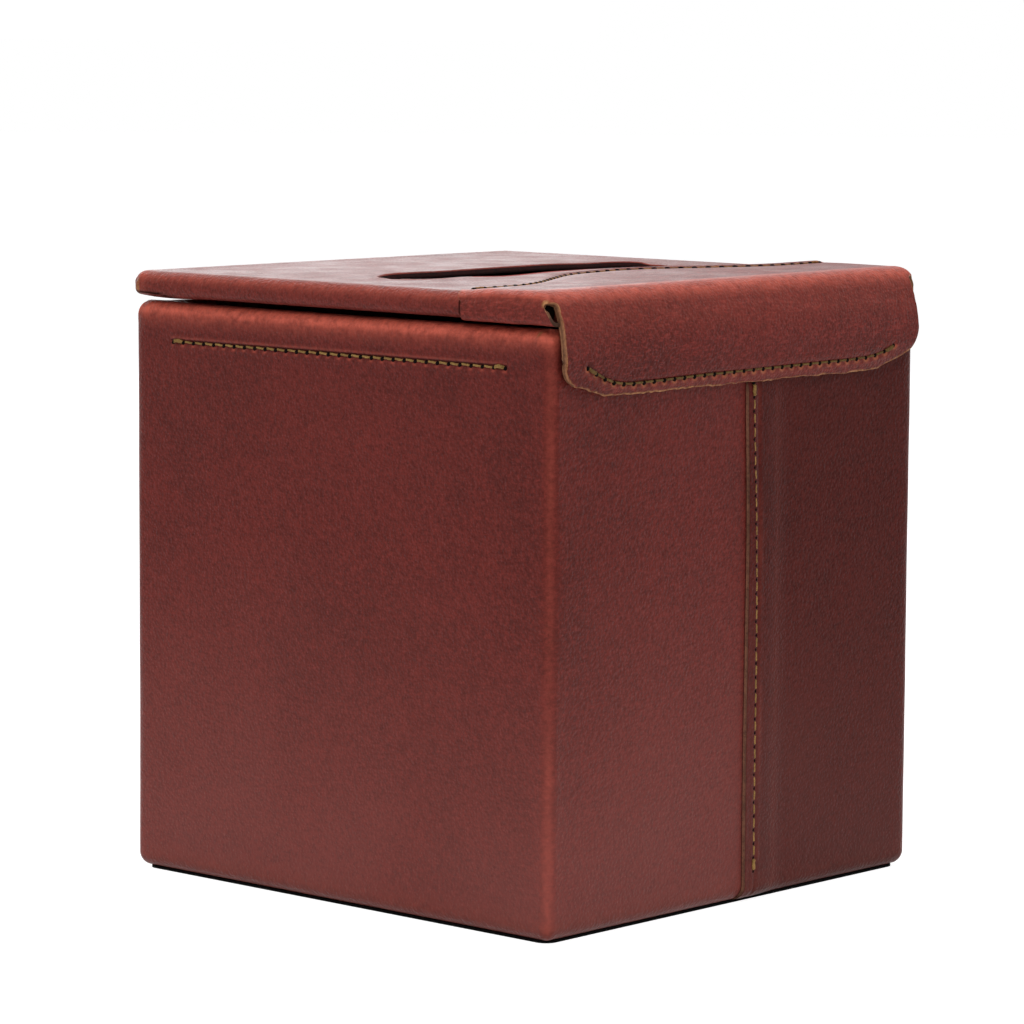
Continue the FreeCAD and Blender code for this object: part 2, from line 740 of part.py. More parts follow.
def make_strap_threads(curves):
    """The row that follows the strap's front edge on the lid, and the row along the flap's lower edge."""
    inset = float(size.edge_to_stitch)
    pitch = float(size.stitch_pitch)
    corners = tongue_corners(inset)
    end = float(lid_half_width - size.strap_row_margin)
    lid_row = rounded_path([(end, corners[0][1], 0)] + corners + [(-end, corners[0][1], 0)], vector_in_plan)
    level = float(strap_top)
    stitches = []
    for before, here, after in evenly_spaced(lid_row, pitch):
        place = FreeCAD.Vector(here.x, here.y, level)
        stitches.append(stitch(place, (after - before).normalize(), FreeCAD.Vector(0, 0, 1)))
    add_shape("hinge_lid_stitching", Part.makeCompound(stitches))

    centre = float(size.flap_shift)
    half = float(size.flap_width / 2 - size.flap_row_margin)
    low = float(rim - size.flap_drop) + inset
    high = float(rim - size.flap_drop + size.flap_row_rise)
    kick = float(size.flap_row_kick)
    flap_row = rounded_path(
        [(centre + half, high, 0), (centre + half - kick, low, kick / 2),
         (centre - half + kick, low, kick / 2), (centre - half, high, 0)], vector_in_back)

    def on_face(point):
        return FreeCAD.Vector(point.x, drop_face(curves, point.z), point.z)

    stitches = []
    for before, here, after in evenly_spaced(flap_row, pitch):
        place = on_face(here)
        outward = (place - FreeCAD.Vector(place.x, curves.drop.x, curves.drop.y)).normalize()
        along = on_face(after) - on_face(before)
        along = (along - outward * along.dot(outward)).normalize()
        stitches.append(stitch(place, along, outward))
    add_shape("hinge_flap_stitching", Part.makeCompound(stitches))


def evenly_spaced(path, pitch):
    """Points a pitch apart along a path, each with its two neighbours, or itself at the path's ends."""
    count = round(path.Length / pitch) + 1
    points = path.discretize(Number=count)
    return [(points[max(i - 1, 0)], points[i], points[min(i + 1, count - 1)]) for i in range(count)]


def check_and_export():
    """Refuse a failed object or a bad solid, then write each labelled piece to its own file."""
    doc.recompute()
    for item in doc.Objects:
        if "Invalid" in item.State or "Error" in item.State:
            raise RuntimeError(f"{item.Label} failed: {item.State}")
    pieces = [item for item in doc.Objects if item.TypeId in ("PartDesign::Body", "Part::Feature")]
    os.makedirs("parts", exist_ok=True)
    for piece in pieces:
        if piece.Shape.isNull() or not piece.Shape.isValid() or not piece.Shape.Solids:
            raise RuntimeError(f"{piece.Label} has no valid solid")
    for piece in pieces:
        piece.Shape.exportStep(f"parts/{piece.Label}.step")
    print(f"{len(pieces)} pieces written")


make_boards()
make_wrap()
make_base()
make_linings()
make_wall_threads()
make_lid()
strap = strap_curves()
make_strap(strap)
make_strap_threads(strap)
check_and_export()
print(f"hinge axis at y {(drop_face(strap, strap.pivot_height) - float(size.strap) / 2):.3f}, "
      f"z {strap.pivot_height:.3f}")
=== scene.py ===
import math

import bpy
import numpy as np
from mathutils import Matrix


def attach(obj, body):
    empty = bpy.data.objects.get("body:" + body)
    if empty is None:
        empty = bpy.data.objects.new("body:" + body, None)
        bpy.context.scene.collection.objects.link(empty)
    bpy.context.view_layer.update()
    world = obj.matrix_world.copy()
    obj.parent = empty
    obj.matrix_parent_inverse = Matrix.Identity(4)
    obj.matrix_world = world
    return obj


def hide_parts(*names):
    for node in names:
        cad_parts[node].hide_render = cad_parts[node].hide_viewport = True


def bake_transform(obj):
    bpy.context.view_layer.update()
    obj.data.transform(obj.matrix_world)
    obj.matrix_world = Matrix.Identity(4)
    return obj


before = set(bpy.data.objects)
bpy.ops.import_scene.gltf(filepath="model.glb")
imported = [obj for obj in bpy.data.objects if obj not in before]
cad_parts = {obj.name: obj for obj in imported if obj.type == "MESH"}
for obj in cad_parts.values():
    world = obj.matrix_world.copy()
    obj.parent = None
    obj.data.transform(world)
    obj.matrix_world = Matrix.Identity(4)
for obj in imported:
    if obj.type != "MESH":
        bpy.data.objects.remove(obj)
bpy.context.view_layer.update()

# Lengths are in millimetres in the row frame, and MM turns them into metres.
MM = 0.001
# The body's wrap: half its width and depth, its foot and rim, and the radius of its upright corners.
HALF_X, HALF_Y = 64.4, 65.45
FOOT, RIM, CORNER = 0.6, 134.0, 3.0
FOOT_RADIUS, RIM_RADIUS, INNER_RADIUS = 3.2, 3.0, 1.4
# The thread rows below the rim.
ROW_HEIGHT, ROW_STITCHES, ROW_PITCH = 125.3, 31, 3.35
ROW_REACH = ROW_STITCHES * ROW_PITCH / 2
# The lap on the back: the x of its edge, its thickness, its upper end and its row of stitches.
LAP_EDGE, LAP_STEP, LAP_TOP = -2.2, 0.85, 119.5
LAP_ROW_FOOT, LAP_ROW_TOP, LAP_STITCHES = 7.0, 118.9, 35
# The lid is square and sits a little to the front.
LID_HALF, LID_CENTRE_Y, LID_CORNER = 65.0, -1.05, 3.5
LID_FOOT, LID_TOP = 135.4, 141.0
LID_RADIUS, UNDER_RADIUS = 3.0, 1.9
BOARD_FOOT, BOARD_TOP = 136.48, 139.52
SLOT_HALF, SLOT_RADIUS = 36.6, 8.3
# The y at which the strap's edge crosses the lid's side.
STRAP_CROSSES = 38.95
# The strap's outer face in side view: a tight bend and then a slow drop.
BEND_CENTRE, BEND_RADIUS, BEND_END = (59.75, 135.5), 7.0, math.radians(65.0)
BEND_LENGTH = BEND_RADIUS * BEND_END
DROP_CENTRE, DROP_RADIUS = (44.13, 128.21), 24.24
# The strap's outline: its front edge on the lid, its flat middle and the flap's two ends.
NOSE_Y, SHOULDER_Y = 19.6, 36.7
FLAT = 61.0
FLAP_RIGHT, FLAP_LEFT = 62.8, -61.5
# The arc length at which the flap's slits end, and the height at which rows start to follow its foot.
SLIT_AT, FALL_FROM = 4.8, 134.5
# The holes of the flap's thread row, as x and z, which the row follows a little lower.
FLAP_ROW = [(-52.4, 126.2), (-49.2, 124.9), (-45.2, 124.0), (-40.5, 123.6), (-28.0, 123.3),
            (-10.0, 122.95), (8.0, 122.6), (25.0, 122.1), (36.0, 121.75), (42.5, 121.75),
            (47.0, 122.4), (51.2, 123.9), (55.6, 125.9)]


def share_of(t):
    return np.clip(t, 0.0, 1.0)


def smooth(t):
    t = share_of(t)
    return t * t * (3.0 - 2.0 * t)


def join(*parts):
    """Arrays or numbers side by side along a new last axis."""
    return np.stack(np.broadcast_arrays(*parts), -1)


def merge(*places):
    """All the places in order, without doubles."""
    return np.unique(np.round(np.concatenate(places), 4))


def hump(x, width):
    return np.exp(-(x / width) ** 2)


def lattice(ix, iy, seed):
    value = np.sin(ix * 127.1 + iy * 311.7 + seed * 74.7) * 43758.5453
    return 2.0 * (value - np.floor(value)) - 1.0


def noise(x, y, cell_x, cell_y, seed):
    """Smooth noise from -1 to 1 with cells of that size."""
    x, y = np.broadcast_arrays(np.asarray(x, float) / cell_x, np.asarray(y, float) / cell_y)
    ix, iy = np.floor(x), np.floor(y)
    fx, fy = smooth(x - ix), smooth(y - iy)
    low = lattice(ix, iy, seed) * (1 - fx) + lattice(ix + 1, iy, seed) * fx
    high = lattice(ix, iy + 1, seed) * (1 - fx) + lattice(ix + 1, iy + 1, seed) * fx
    return low * (1 - fy) + high * fy


def unit(v):
    return v / np.maximum(np.linalg.norm(v, axis=-1, keepdims=True), 1e-9)


def circle(count):
    return np.linspace(0.0, 2 * math.pi, count, endpoint=False)


def arc(radius, start, stop, count):
    """Points on a circle that starts level with its centre, as (depth, rise) pairs."""
    turn = np.radians(np.linspace(start, stop, count))
    return list(zip(radius - radius * np.cos(turn), radius * np.sin(turn)))


def make_mesh(name, points, faces, materials, face_material=0, layers=None):
    """A smooth mesh. Points may come as a grid, and a layer as anything that spreads over that grid."""
    mesh = bpy.data.meshes.new(name)
    mesh.from_pydata((points * MM).reshape(-1, 3).tolist(), [], [list(map(int, f)) for f in faces])
    for material in materials:
        mesh.materials.append(material)
    kinds = np.ravel(face_material) if np.ndim(face_material) else np.full(len(faces), face_material)
    mesh.polygons.foreach_set("material_index", kinds.astype(np.int32))
    mesh.polygons.foreach_set("use_smooth", np.ones(len(faces), bool))
    for layer, values in (layers or {}).items():
        values = np.broadcast_to(share_of(values), points.shape[:-1]).ravel()
        mesh.attributes.new(layer, "FLOAT", "POINT").data.foreach_set("value", values.astype(np.float32))
    mesh.update()
    item = bpy.data.objects.new(name, mesh)
    bpy.context.scene.collection.objects.link(item)
    return item


def grid_faces(rows, columns, close_rows=False, close_columns=False, start=0):
    """Quads over a grid of points, numbered row by row."""
    r = np.arange(rows if close_rows else rows - 1)
    c = np.arange(columns if close_columns else columns - 1)
    r, c = np.meshgrid(r, c, indexing="ij")
    r2, c2 = (r + 1) % rows, (c + 1) % columns
    quads = join(r * columns + c, r * columns + c2, r2 * columns + c2, r2 * columns + c)
    return quads.reshape(-1, 4) + start


# ---------------------------------------------------------------- materials

def put(tree, kind, inputs, **settings):
    """A node with its inputs set: a socket is linked and anything else is the input's own value."""
    node = tree.nodes.new("ShaderNode" + kind)
    for key, value in settings.items():
        setattr(node, key, value)
    for key, value in inputs.items():
        if isinstance(value, bpy.types.NodeSocket):
            tree.links.new(value, node.inputs[key])
        else:
            node.inputs[key].default_value = value
    return node


def empty_tree(owner):
    owner.use_nodes = True
    owner.node_tree.nodes.clear()
    return owner.node_tree


def times(factor, colour):
    return tuple(factor * v for v in colour)


class Surface:
    """A material with short names for the nodes that colour it."""

    def __init__(self, name):
        self.material = bpy.data.materials.new(name)
        self.tree = empty_tree(self.material)
        self.place = put(self.tree, "TexCoord", {}).outputs["Object"]

    def noise(self, scale, detail=3.0, rough=0.55, flatness=None):
        """Noise, which flatness squeezes in height so that it runs sideways."""
        place = self.place
        if flatness:
            place = put(self.tree, "Mapping", {"Vector": place, "Scale": (1.0, 1.0, flatness)}).outputs[0]
        return put(self.tree, "TexNoise", {"Vector": place, "Scale": scale, "Detail": detail,
                                           "Roughness": rough}).outputs["Fac"]

    def ramp(self, factor, *stops):
        """Each stop is a place with a colour or a grey level."""
        node = put(self.tree, "ValToRGB", {"Fac": factor})
        elements = node.color_ramp.elements
        while len(elements) < len(stops):
            elements.new(0.5)
        for element, (place, colour) in zip(elements, stops):
            element.position = place
            element.color = (*colour, 1.0) if isinstance(colour, tuple) else (colour,) * 3 + (1.0,)
        return node.outputs[0]

    def mix(self, factor, first, second):
        whole = [v if isinstance(v, bpy.types.NodeSocket) else (*v, 1.0) for v in (first, second)]
        return put(self.tree, "Mix", {0: factor, 6: whole[0], 7: whole[1]}, data_type="RGBA",
                   clamp_factor=True).outputs[2]

    def over(self, colour, source, low, high, paint):
        """The colour with that paint over it, as far as the source's ramp says."""
        return self.mix(self.ramp(source, low, high), colour, paint)

    def product(self, first, second):
        return put(self.tree, "Math", {0: first, 1: second}, operation="MULTIPLY").outputs[0]

    def rest(self, share):
        """What is left of one, and never less than nothing."""
        return put(self.tree, "Math", {0: 1.0, 1: share}, operation="SUBTRACT", use_clamp=True).outputs[0]

    def layer(self, name):
        return put(self.tree, "Attribute", {}, attribute_name=name, attribute_type="GEOMETRY").outputs["Fac"]

    def raised(self, height, distance, strength, under=None):
        inputs = {"Height": height, "Distance": distance, "Strength": strength}
        if under is not None:
            inputs["Normal"] = under
        return put(self.tree, "Bump", inputs).outputs[0]

    def shade(self, colour, roughness, ior, **more):
        inputs = {key.replace("_", " "): value for key, value in more.items()}
        shader = put(self.tree, "BsdfPrincipled",
                     {"Base Color": colour, "Roughness": roughness, "IOR": ior, **inputs})
        put(self.tree, "OutputMaterial", {0: shader.outputs[0]})
        return self.material


# The rubbed colour below also serves as a painted highlight.
DEEP, BODY, RUBBED_AND_HIGHLIGHT = (0.092, 0.0142, 0.0108), (0.118, 0.0178, 0.0138), (0.620, 0.125, 0.080)
# The first colour below is a greyish wax bloom with painted floor bounce light, and the second is the colour of
# painted shade.
BLOOM_AND_BOUNCE, SHADE = (0.185, 0.062, 0.053), (0.006, 0.004, 0.003)
FLESH_LOW, FLESH_HIGH = (0.20, 0.070, 0.022), (0.50, 0.235, 0.100)


def leather(name, tint, wrinkle, bloom_and_bounce_amount, lines):
    """Waxed pull-up leather: mottled, rubbed to a lighter red along its edges and painted with highlights
    there, with a fine grain.
    """
    m = Surface(name)
    body = times(tint, BODY)
    colour = m.ramp(m.noise(24.0, 5.0, 0.62), (0.30, DEEP), (0.50, body), (0.72, times(1.12, body)))
    # Pores and flecks of the redder dye below the wax.
    flecks = m.noise(1050.0, 4.0, 0.72)
    colour = m.over(colour, flecks, (0.50, 0.0), (0.68, 0.64), times(1.62, body))
    colour = m.over(colour, flecks, (0.32, 0.64), (0.49, 0.0), times(0.50, DEEP))
    scuffs = m.noise(170.0, 5.0, 0.7, 1.6)
    colour = m.over(colour, scuffs, (0.52, 0.0), (0.74, 0.28), times(1.45, body))
    colour = m.over(colour, scuffs, (0.26, 0.28), (0.46, 0.0), times(0.70, DEEP))
    # Short stretch wrinkles, paler where they stand up.
    short = m.noise(560.0, 4.0, 0.62, 3.4)
    colour = m.over(colour, short, (0.51, 0.0), (0.64, lines), times(2.1, body))
    # A greyish wax bloom with painted floor bounce light, both growing towards the foot of the walls.
    height = put(m.tree, "SeparateXYZ", {"Vector": m.place}).outputs["Z"]
    low = m.ramp(m.product(height, 7.4), (0.02, 1.0), (0.62, 0.0))
    bloom_and_bounce = m.product(low, m.ramp(m.noise(14.0), (0.30, 0.45), (0.70, 1.0)))
    colour = m.mix(m.product(bloom_and_bounce, bloom_and_bounce_amount), colour, BLOOM_AND_BOUNCE)
    # Rubbed edges with painted highlights, the flesh colour where the flesh shows and on painted highlights,
    # and painted shade such as at a needle hole and along a groove.
    broken = m.ramp(m.noise(420.0, 5.0, 0.7), (0.32, 0.40), (0.60, 1.0))
    colour = m.mix(m.product(m.layer("wear_and_highlight"), broken), colour, RUBBED_AND_HIGHLIGHT)
    flesh = m.ramp(m.noise(900.0, 4.0, 0.7), (0.35, FLESH_LOW), (0.65, FLESH_HIGH))
    colour = m.mix(m.layer("flesh_and_highlight"), colour, flesh)
    colour = m.mix(m.layer("dark"), colour, SHADE)
    # Grain: small pebbles and fibre, broken by wrinkles that run across the hide where it isn't calm.
    pebbles = put(m.tree, "TexVoronoi", {"Vector": m.place, "Scale": 1500.0, "Randomness": 1.0},
                  feature="SMOOTH_F1").outputs["Distance"]
    creases = m.noise(190.0, 5.0, 0.66, 3.0)
    grain = m.raised(pebbles, 0.00022, 0.8)
    grain = m.raised(m.noise(2600.0, 3.0, 0.6), 0.00008, 0.7, grain)
    lively = m.rest(m.layer("calm"))
    grain = m.raised(creases, 0.00018 * wrinkle, m.product(lively, 0.8), grain)
    grain = m.raised(short, 0.00012 * wrinkle, m.product(lively, 0.9), grain)
    rough = m.ramp(m.noise(95.0, 4.0, 0.6), (0.30, 0.28), (0.70, 0.42))
    # The darker places, such as the painted shadows along the grooves, are duller.
    shine = m.product(m.rest(m.product(m.layer("dark"), 1.15)), 0.5)
    return m.shade(colour, rough, 1.17, Normal=grain, Specular_IOR_Level=shine)


def fibrous(name, fibre, stops, finish, bump=(), blotch=(), shaded=None, **more):
    """Fibre in a few tones, with broader blotches over it: a noise, its ramp, and (roughness, IOR)."""
    m = Surface(name)
    strands = m.noise(*fibre)
    colour = m.ramp(strands, *stops)
    if blotch:
        colour = m.over(colour, m.noise(*blotch[0]), *blotch[1:])
    if shaded:
        colour = m.mix(m.layer("dark"), colour, shaded)
    if bump:
        more["Normal"] = m.raised(strands, *bump)
    return m.shade(colour, *finish, **more)


def raw_edge(name, pale, dark):
    """The cut edge of vegetable-tanned leather: layered fibre, darker along its middle."""
    return fibrous(name, (1300.0, 5.0, 0.72), ((0.30, dark), (0.52, pale), (0.78, times(1.35, pale))),
                   (0.82, 1.35), (0.00018, 0.9),
                   ((240.0, 3.0, 0.6), (0.48, 0.0), (0.74, 0.7), times(0.5, dark)), times(0.28, dark))


def thread_material(name, pale, dark):
    return fibrous(name, (3800.0, 3.0, 0.6), ((0.28, dark), (0.60, pale)), (0.62, 1.2), (0.00008, 0.8),
                   ((160.0, 3.0, 0.6), (0.42, 0.0), (0.75, 0.6), times(0.5, dark)))


def lining(name, low, high, scale):
    """A short-napped cloth."""
    return fibrous(name, (scale, 5.0, 0.75), ((0.3, low), (0.7, high)), (0.93, 1.12), (0.0002, 0.9),
                   ((38.0, 3.0, 0.6), (0.35, 0.0), (0.7, 1.0), high))


def board_material(name, low, high, stain=None):
    """Pressed millboard: fine flecks in layers, stained where it shows in the slot."""
    blotch = ((130.0, 4.0, 0.65, 3.0), (0.42, 0.0), (0.66, 1.0), stain) if stain else ()
    return fibrous(name, (900.0, 5.0, 0.7, 3.0), ((0.32, low), (0.66, high)), (0.85, 1.35), (0.00015, 0.8),
                   blotch)


hide = leather("oiled_leather", 1.0, 0.6, 0.5, 0.16)
lid_hide = leather("lid_leather", 1.10, 0.4, 0.0, 0.25)
strap_hide = leather("strap_leather", 1.08, 1.1, 0.0, 0.60)
cut_edge = raw_edge("cut_edge", (0.300, 0.128, 0.060), (0.130, 0.048, 0.020))
lap_cut_edge = raw_edge("lap_cut_edge", (0.300, 0.120, 0.066), (0.100, 0.036, 0.020))
slot_cut_edge = raw_edge("slot_cut_edge", (0.034, 0.005, 0.004), (0.006, 0.002, 0.002))
slot_lip = raw_edge("slot_lip", (0.330, 0.022, 0.014), (0.110, 0.009, 0.006))
NAP_LOW, NAP_HIGH = (0.110, 0.045, 0.022), (0.235, 0.110, 0.060)
nap = fibrous("flesh_side", (1700.0, 5.0, 0.75), ((0.3, NAP_LOW), (0.7, NAP_HIGH)), (0.92, 1.3), (0.00015, 0.9),
              ((60.0, 3.0, 0.6), (0.0, 0.0), (1.0, 1.0), NAP_LOW), Sheen_Weight=0.25)
pale_thread = thread_material("waxed_thread", (0.350, 0.205, 0.066), (0.150, 0.080, 0.022))
# A copy of the waxed thread at about half its colour: painted shade for the flap's row.
shaded_thread = thread_material("waxed_thread_painted_shade", (0.175, 0.098, 0.030), (0.060, 0.031, 0.010))
warm_thread = thread_material("waxed_thread_warm", (0.300, 0.140, 0.045), (0.120, 0.050, 0.014))
# Painted shade: nearly black, for the inside of each needle hole.
hole = fibrous("needle_hole", (1500.0, 2.0), ((0.3, (0.002, 0.0016, 0.0014)), (0.7, (0.008, 0.005, 0.004))),
               (0.95, 1.15))
black_nap = lining("black_suede", (0.0035, 0.0032, 0.0036), (0.011, 0.0102, 0.0115), 1500.0)
black_sheet = lining("black_base_sheet", (0.003, 0.0028, 0.0028), (0.008, 0.0075, 0.0075), 900.0)
grey_board = board_material("millboard", (0.16, 0.13, 0.10), (0.30, 0.25, 0.19))
slot_board = board_material("stained_board", (0.003, 0.0015, 0.0015), (0.022, 0.003, 0.003),
                            (0.002, 0.0012, 0.0012))
buff_card = board_material("buff_card", (0.22, 0.17, 0.11), (0.38, 0.31, 0.21))


# ---------------------------------------------------------------- the wrap

def outline(side, share, depth, half_x, half_y, radius, centre_y=0.0):
    """Points on a rounded rectangle inset by depth. Even sides are straight and odd ones are corners."""
    side, share, depth = np.broadcast_arrays(side, share, depth)
    r = np.maximum(radius - depth, 0.25)
    lx, ly = half_x - depth - r, half_y - depth - r
    angle = (np.floor(side / 2) + np.where(side % 2 == 1, share, 0.0)) * math.pi / 2
    slide = 2 * share - 1
    choose = [side == k for k in range(8)]
    cx = np.select(choose, [lx, lx, -lx * slide, -lx, -lx, -lx, lx * slide, lx])
    cy = np.select(choose, [ly * slide, ly, ly, ly, -ly * slide, -ly, -ly, -ly])
    return cx + r * np.cos(angle), cy + r * np.sin(angle) + centre_y


def go_round(straights, turn_count):
    """The side and the share of it for each station round a rounded rectangle."""
    turns = np.linspace(0.0, 1.0, turn_count)[1:-1]
    side = [[2.0 * k] * len(shares) + [2.0 * k + 1.0] * len(turns) for k, shares in enumerate(straights)]
    share = [np.concatenate([shares, turns]) for shares in straights]
    return np.concatenate(side), np.concatenate(share)


def hole_places():
    return (np.arange(ROW_STITCHES + 1) - ROW_STITCHES / 2) * ROW_PITCH


def to_hole(along):
    """The distance to the nearest needle hole of a wall's row, measured along it."""
    spacing = (along + ROW_REACH) / ROW_PITCH
    return (spacing - np.round(spacing)) * ROW_PITCH


def has_row(side):
    return (side == 0) | (side == 4) | (side == 6)


def fine_places(half, coarse=1.5):
    """Places along a side, close together round each hole."""
    near = np.array([-1.25, -0.8, -0.5, -0.25, 0.0, 0.25, 0.5, 0.8, 1.25, 1.675])
    inner = (hole_places()[:, None] + near).ravel()
    inner = inner[(inner > -half) & (inner < half)]
    low = np.linspace(-half, inner.min(), max(3, int((inner.min() + half) / coarse)), endpoint=False)
    high = np.linspace(half, inner.max(), max(3, int((half - inner.max()) / coarse)), endpoint=False)
    return merge(low, inner, high)


def lap_shift(z):
    """How far the lap's edge leans from its straight line at a height."""
    return 0.5 * smooth((z - 85.0) / 33.0) + 0.18 * np.sin(z / 17.0) + 1.0 * smooth((4.0 - z) / 4.0)


def lap_row_from_edge(z):
    return -3.3 + 1.2 * smooth((z - 45.0) / 75.0)


def swelling(side, along, z):
    """How far the wrap stands out from its flat wall."""
    turn = along + side * 211.0
    within = np.where(has_row(side), 1.0 - smooth(np.abs(along) - ROW_REACH), 0.0)
    past = np.where(has_row(side) & (np.abs(along) > ROW_REACH), hump(np.abs(along) - ROW_REACH, 7.0), 0.0)
    drop = z - ROW_HEIGHT
    out = 0.10 * noise(turn, z, 41.0, 38.0, 3) + 0.03 * noise(turn, z, 8.0, 9.0, 4)
    out += within * (0.12 * hump(drop - 1.2, 0.55) + 0.08 * hump(drop + 1.2, 0.6) - 0.26 * hump(drop, 0.50))
    out += 0.16 * np.where(has_row(side), hump(drop - 4.4, 3.0), 0.0) - 0.10 * hump(drop, 0.9) * past
    return out - 0.24 * np.exp(-(to_hole(along) ** 2 + drop ** 2) / 0.42 ** 2) * within


def make_wrap():
    straight_x, straight_y = HALF_X - CORNER, HALF_Y - CORNER
    edge = -LAP_EDGE
    along_y = np.union1d(fine_places(straight_y), np.linspace(58.8, straight_y, 12))
    back = merge(np.linspace(-straight_x, edge - 6.0, 26), np.linspace(edge - 6.0, edge - 0.6, 10),
                 edge + np.array([-0.3, -0.12, -0.03, 0.0, 0.12, 0.3]),
                 np.linspace(edge + 0.6, edge + 6.0, 24), np.linspace(edge + 6.0, edge + 17.0, 24),
                 np.linspace(edge + 17.0, straight_x, 22))
    straights = ((along_y, straight_y), (back, straight_x), (along_y, straight_y),
                 (fine_places(straight_x), straight_x))
    side, share = go_round([(places + half) / (2 * half) for places, half in straights], 11)
    half = np.where((side == 0) | (side == 4), straight_y, straight_x)
    along = np.where(side % 2 == 1, (share - 0.5) * CORNER * math.pi / 2, np.round((2 * share - 1) * half, 9))

    # Each row of the profile: how deep it lies, its height, and how much of the outer face's form it takes.
    profile = [(14.0, FOOT, 0.0), (9.0, FOOT, 0.0), (5.5, FOOT, 0.3)]
    profile += [(depth, FOOT + FOOT_RADIUS + rise, 1.0) for depth, rise in arc(FOOT_RADIUS, -90.0, 0.0, 10)]
    beside_row = [0.15, 0.3, 0.5, 0.75, 1.0, 1.3, 1.7]
    walls = [*np.linspace(5.0, 120.5, 40), 121.6, 122.5, 123.2, *(ROW_HEIGHT - np.array(beside_row[::-1])),
             *(ROW_HEIGHT + np.array([0.0] + beside_row)), 127.8, 128.8, 129.9]
    profile += [(0.0, z, 1.0) for z in walls]
    profile += [(depth, RIM - RIM_RADIUS + rise, 1.0) for depth, rise in arc(RIM_RADIUS, 0.0, 90.0, 9)]
    profile += [(2.9 + depth, RIM - INNER_RADIUS + rise, 0.5)
                for depth, rise in arc(INNER_RADIUS, 90.0, 180.0, 6)]
    profile += [(5.7, z, 0.0) for z in (130.5, 127.0, 123.5, 120.6, 120.1)]
    profile += [(depth, z, 0.0) for depth, z in ((4.65, 120.1), (4.65, 132.4), (1.55, 132.4), (1.55, 60.0),
                                                 (1.55, 1.75), (6.0, 1.75), (14.0, 1.75))]
    depth, height, outer = np.array(profile).T[:, None, :]
    side, share, along, half = side[:, None], share[:, None], along[:, None], half[:, None]
    is_outer, is_corner = outer > 0, side % 2 == 1

    # The lap on the back: a step up to the layer on the -X side, which runs down to the wall again.
    past_edge = along - edge
    beyond = (side == 2) & (past_edge > -0.01)
    step = np.where(past_edge > -0.01, 1.0, 0.0) * (1.0 - 0.92 * smooth((past_edge - 5.0) / 10.0))
    step = np.where(past_edge > 16.0, 0.08 * (1.0 - smooth((past_edge - 16.0) / 20.0)), step)
    tall = smooth((LAP_TOP - height) / 1.5) * outer
    lift = LAP_STEP * step - 0.12 * hump(past_edge + 0.15, 0.2) - 0.16 * hump(past_edge - 3.3, 0.4)
    lift += 0.06 * hump(past_edge - 2.2, 0.6) + 0.06 * hump(past_edge - 4.5, 0.6)
    out = swelling(side, along, height) * outer + lift * tall * (side == 2)
    # A small pucker in the rim beside the near corner.
    knob = np.exp(-((along - straight_y + 0.5) ** 2 / 0.8 + (height - 132.3) ** 2 / 0.9))
    out += 0.40 * knob * (side == 0) * (outer > 0.6)
    px, py = outline(side, share, depth - out, HALF_X, HALF_Y, CORNER)
    px = px + lap_shift(height) * (side == 2) * hump(past_edge, 13.0) * is_outer
    # The gathered leather at each corner of the rim.
    near_end = np.minimum(np.abs(along - half), np.abs(along + half))
    corner = np.where(is_corner, 1.0, hump(near_end, 1.6))
    pucker = corner * smooth((height - 128.5) / 4.0) * is_outer
    ripple = 0.22 * np.sin(along * 2.6 + side) + 0.16 * noise(along + 60 * side, height, 1.1, 2.4, 9)
    dome = 0.35 * corner * smooth((height - 130.0) / 3.5) * (outer > 0.6)
    gather = 0.707 * (ripple * pucker - dome * 0.4)
    px, py = px + np.sign(px) * gather, py + np.sign(py) * gather
    pz = np.broadcast_to(height, px.shape) + dome * 0.25 * (height > 132.0)
    pz += 0.30 * hump(along + 58.0, 9.0) * (side == 0) * smooth((height - 130.0) / 3.0)
    pz += 0.08 * noise(along + side * 77, 0 * height, 23.0, 5.0, 12) * (height > 128.0) * is_outer

    # Where the surface is rubbed and where highlights are painted: corners, rim, foot, the lips of the row and
    # the lap's pinched leather.
    from_corner = np.where(is_corner, np.abs(along), near_end + CORNER * math.pi / 4)
    streak = 0.75 + 0.35 * noise(height, 0 * along, 9.0, 5.0, 21)
    speckle = 1.0 + 0.25 * noise(along, height, 1.1, 0.8, 23)
    wear_and_highlight = 0.16 * hump(from_corner, 1.0) * streak + 0.02 * hump(from_corner, 3.0)
    # Painted highlight along the rim, over its rubbed red.
    wear_and_highlight += (1.5 * hump(height - 132.9, 1.3) + 0.24 * hump(height - 130.8, 1.9)) * speckle
    # Painted floor light along the foot.
    wear_and_highlight += 0.11 * hump(height - 2.4, 3.0)
    in_row = has_row(side) & (np.abs(along) < ROW_REACH + 0.8)
    above_row = height - ROW_HEIGHT
    lips = hump(above_row + 0.85, 0.32) * hump(to_hole(along), 0.6) + 0.45 * hump(above_row - 0.95, 0.3)
    # Painted highlight on the lips round the row's holes.
    wear_and_highlight += 0.45 * lips * in_row
    wear_and_highlight += 0.07 * hump(past_edge - 10.5, 1.3) * ((side == 2) & (past_edge > 7.0))
    ticks = 0.55 + 0.45 * np.sin(2.0 * math.pi * (height - 7.8) / 3.197)
    pinch = hump(-past_edge - lap_row_from_edge(height) + 1.3, 0.75) * ticks
    wear_and_highlight += 0.17 * pinch * ((side == 2) & (height > 8.0)) * tall
    # Beyond the lap the wrap is darker, finer and calmer, and the far corner is darker too.
    calm = np.where(beyond, 0.75, 0.05 + 0.05 * streak)
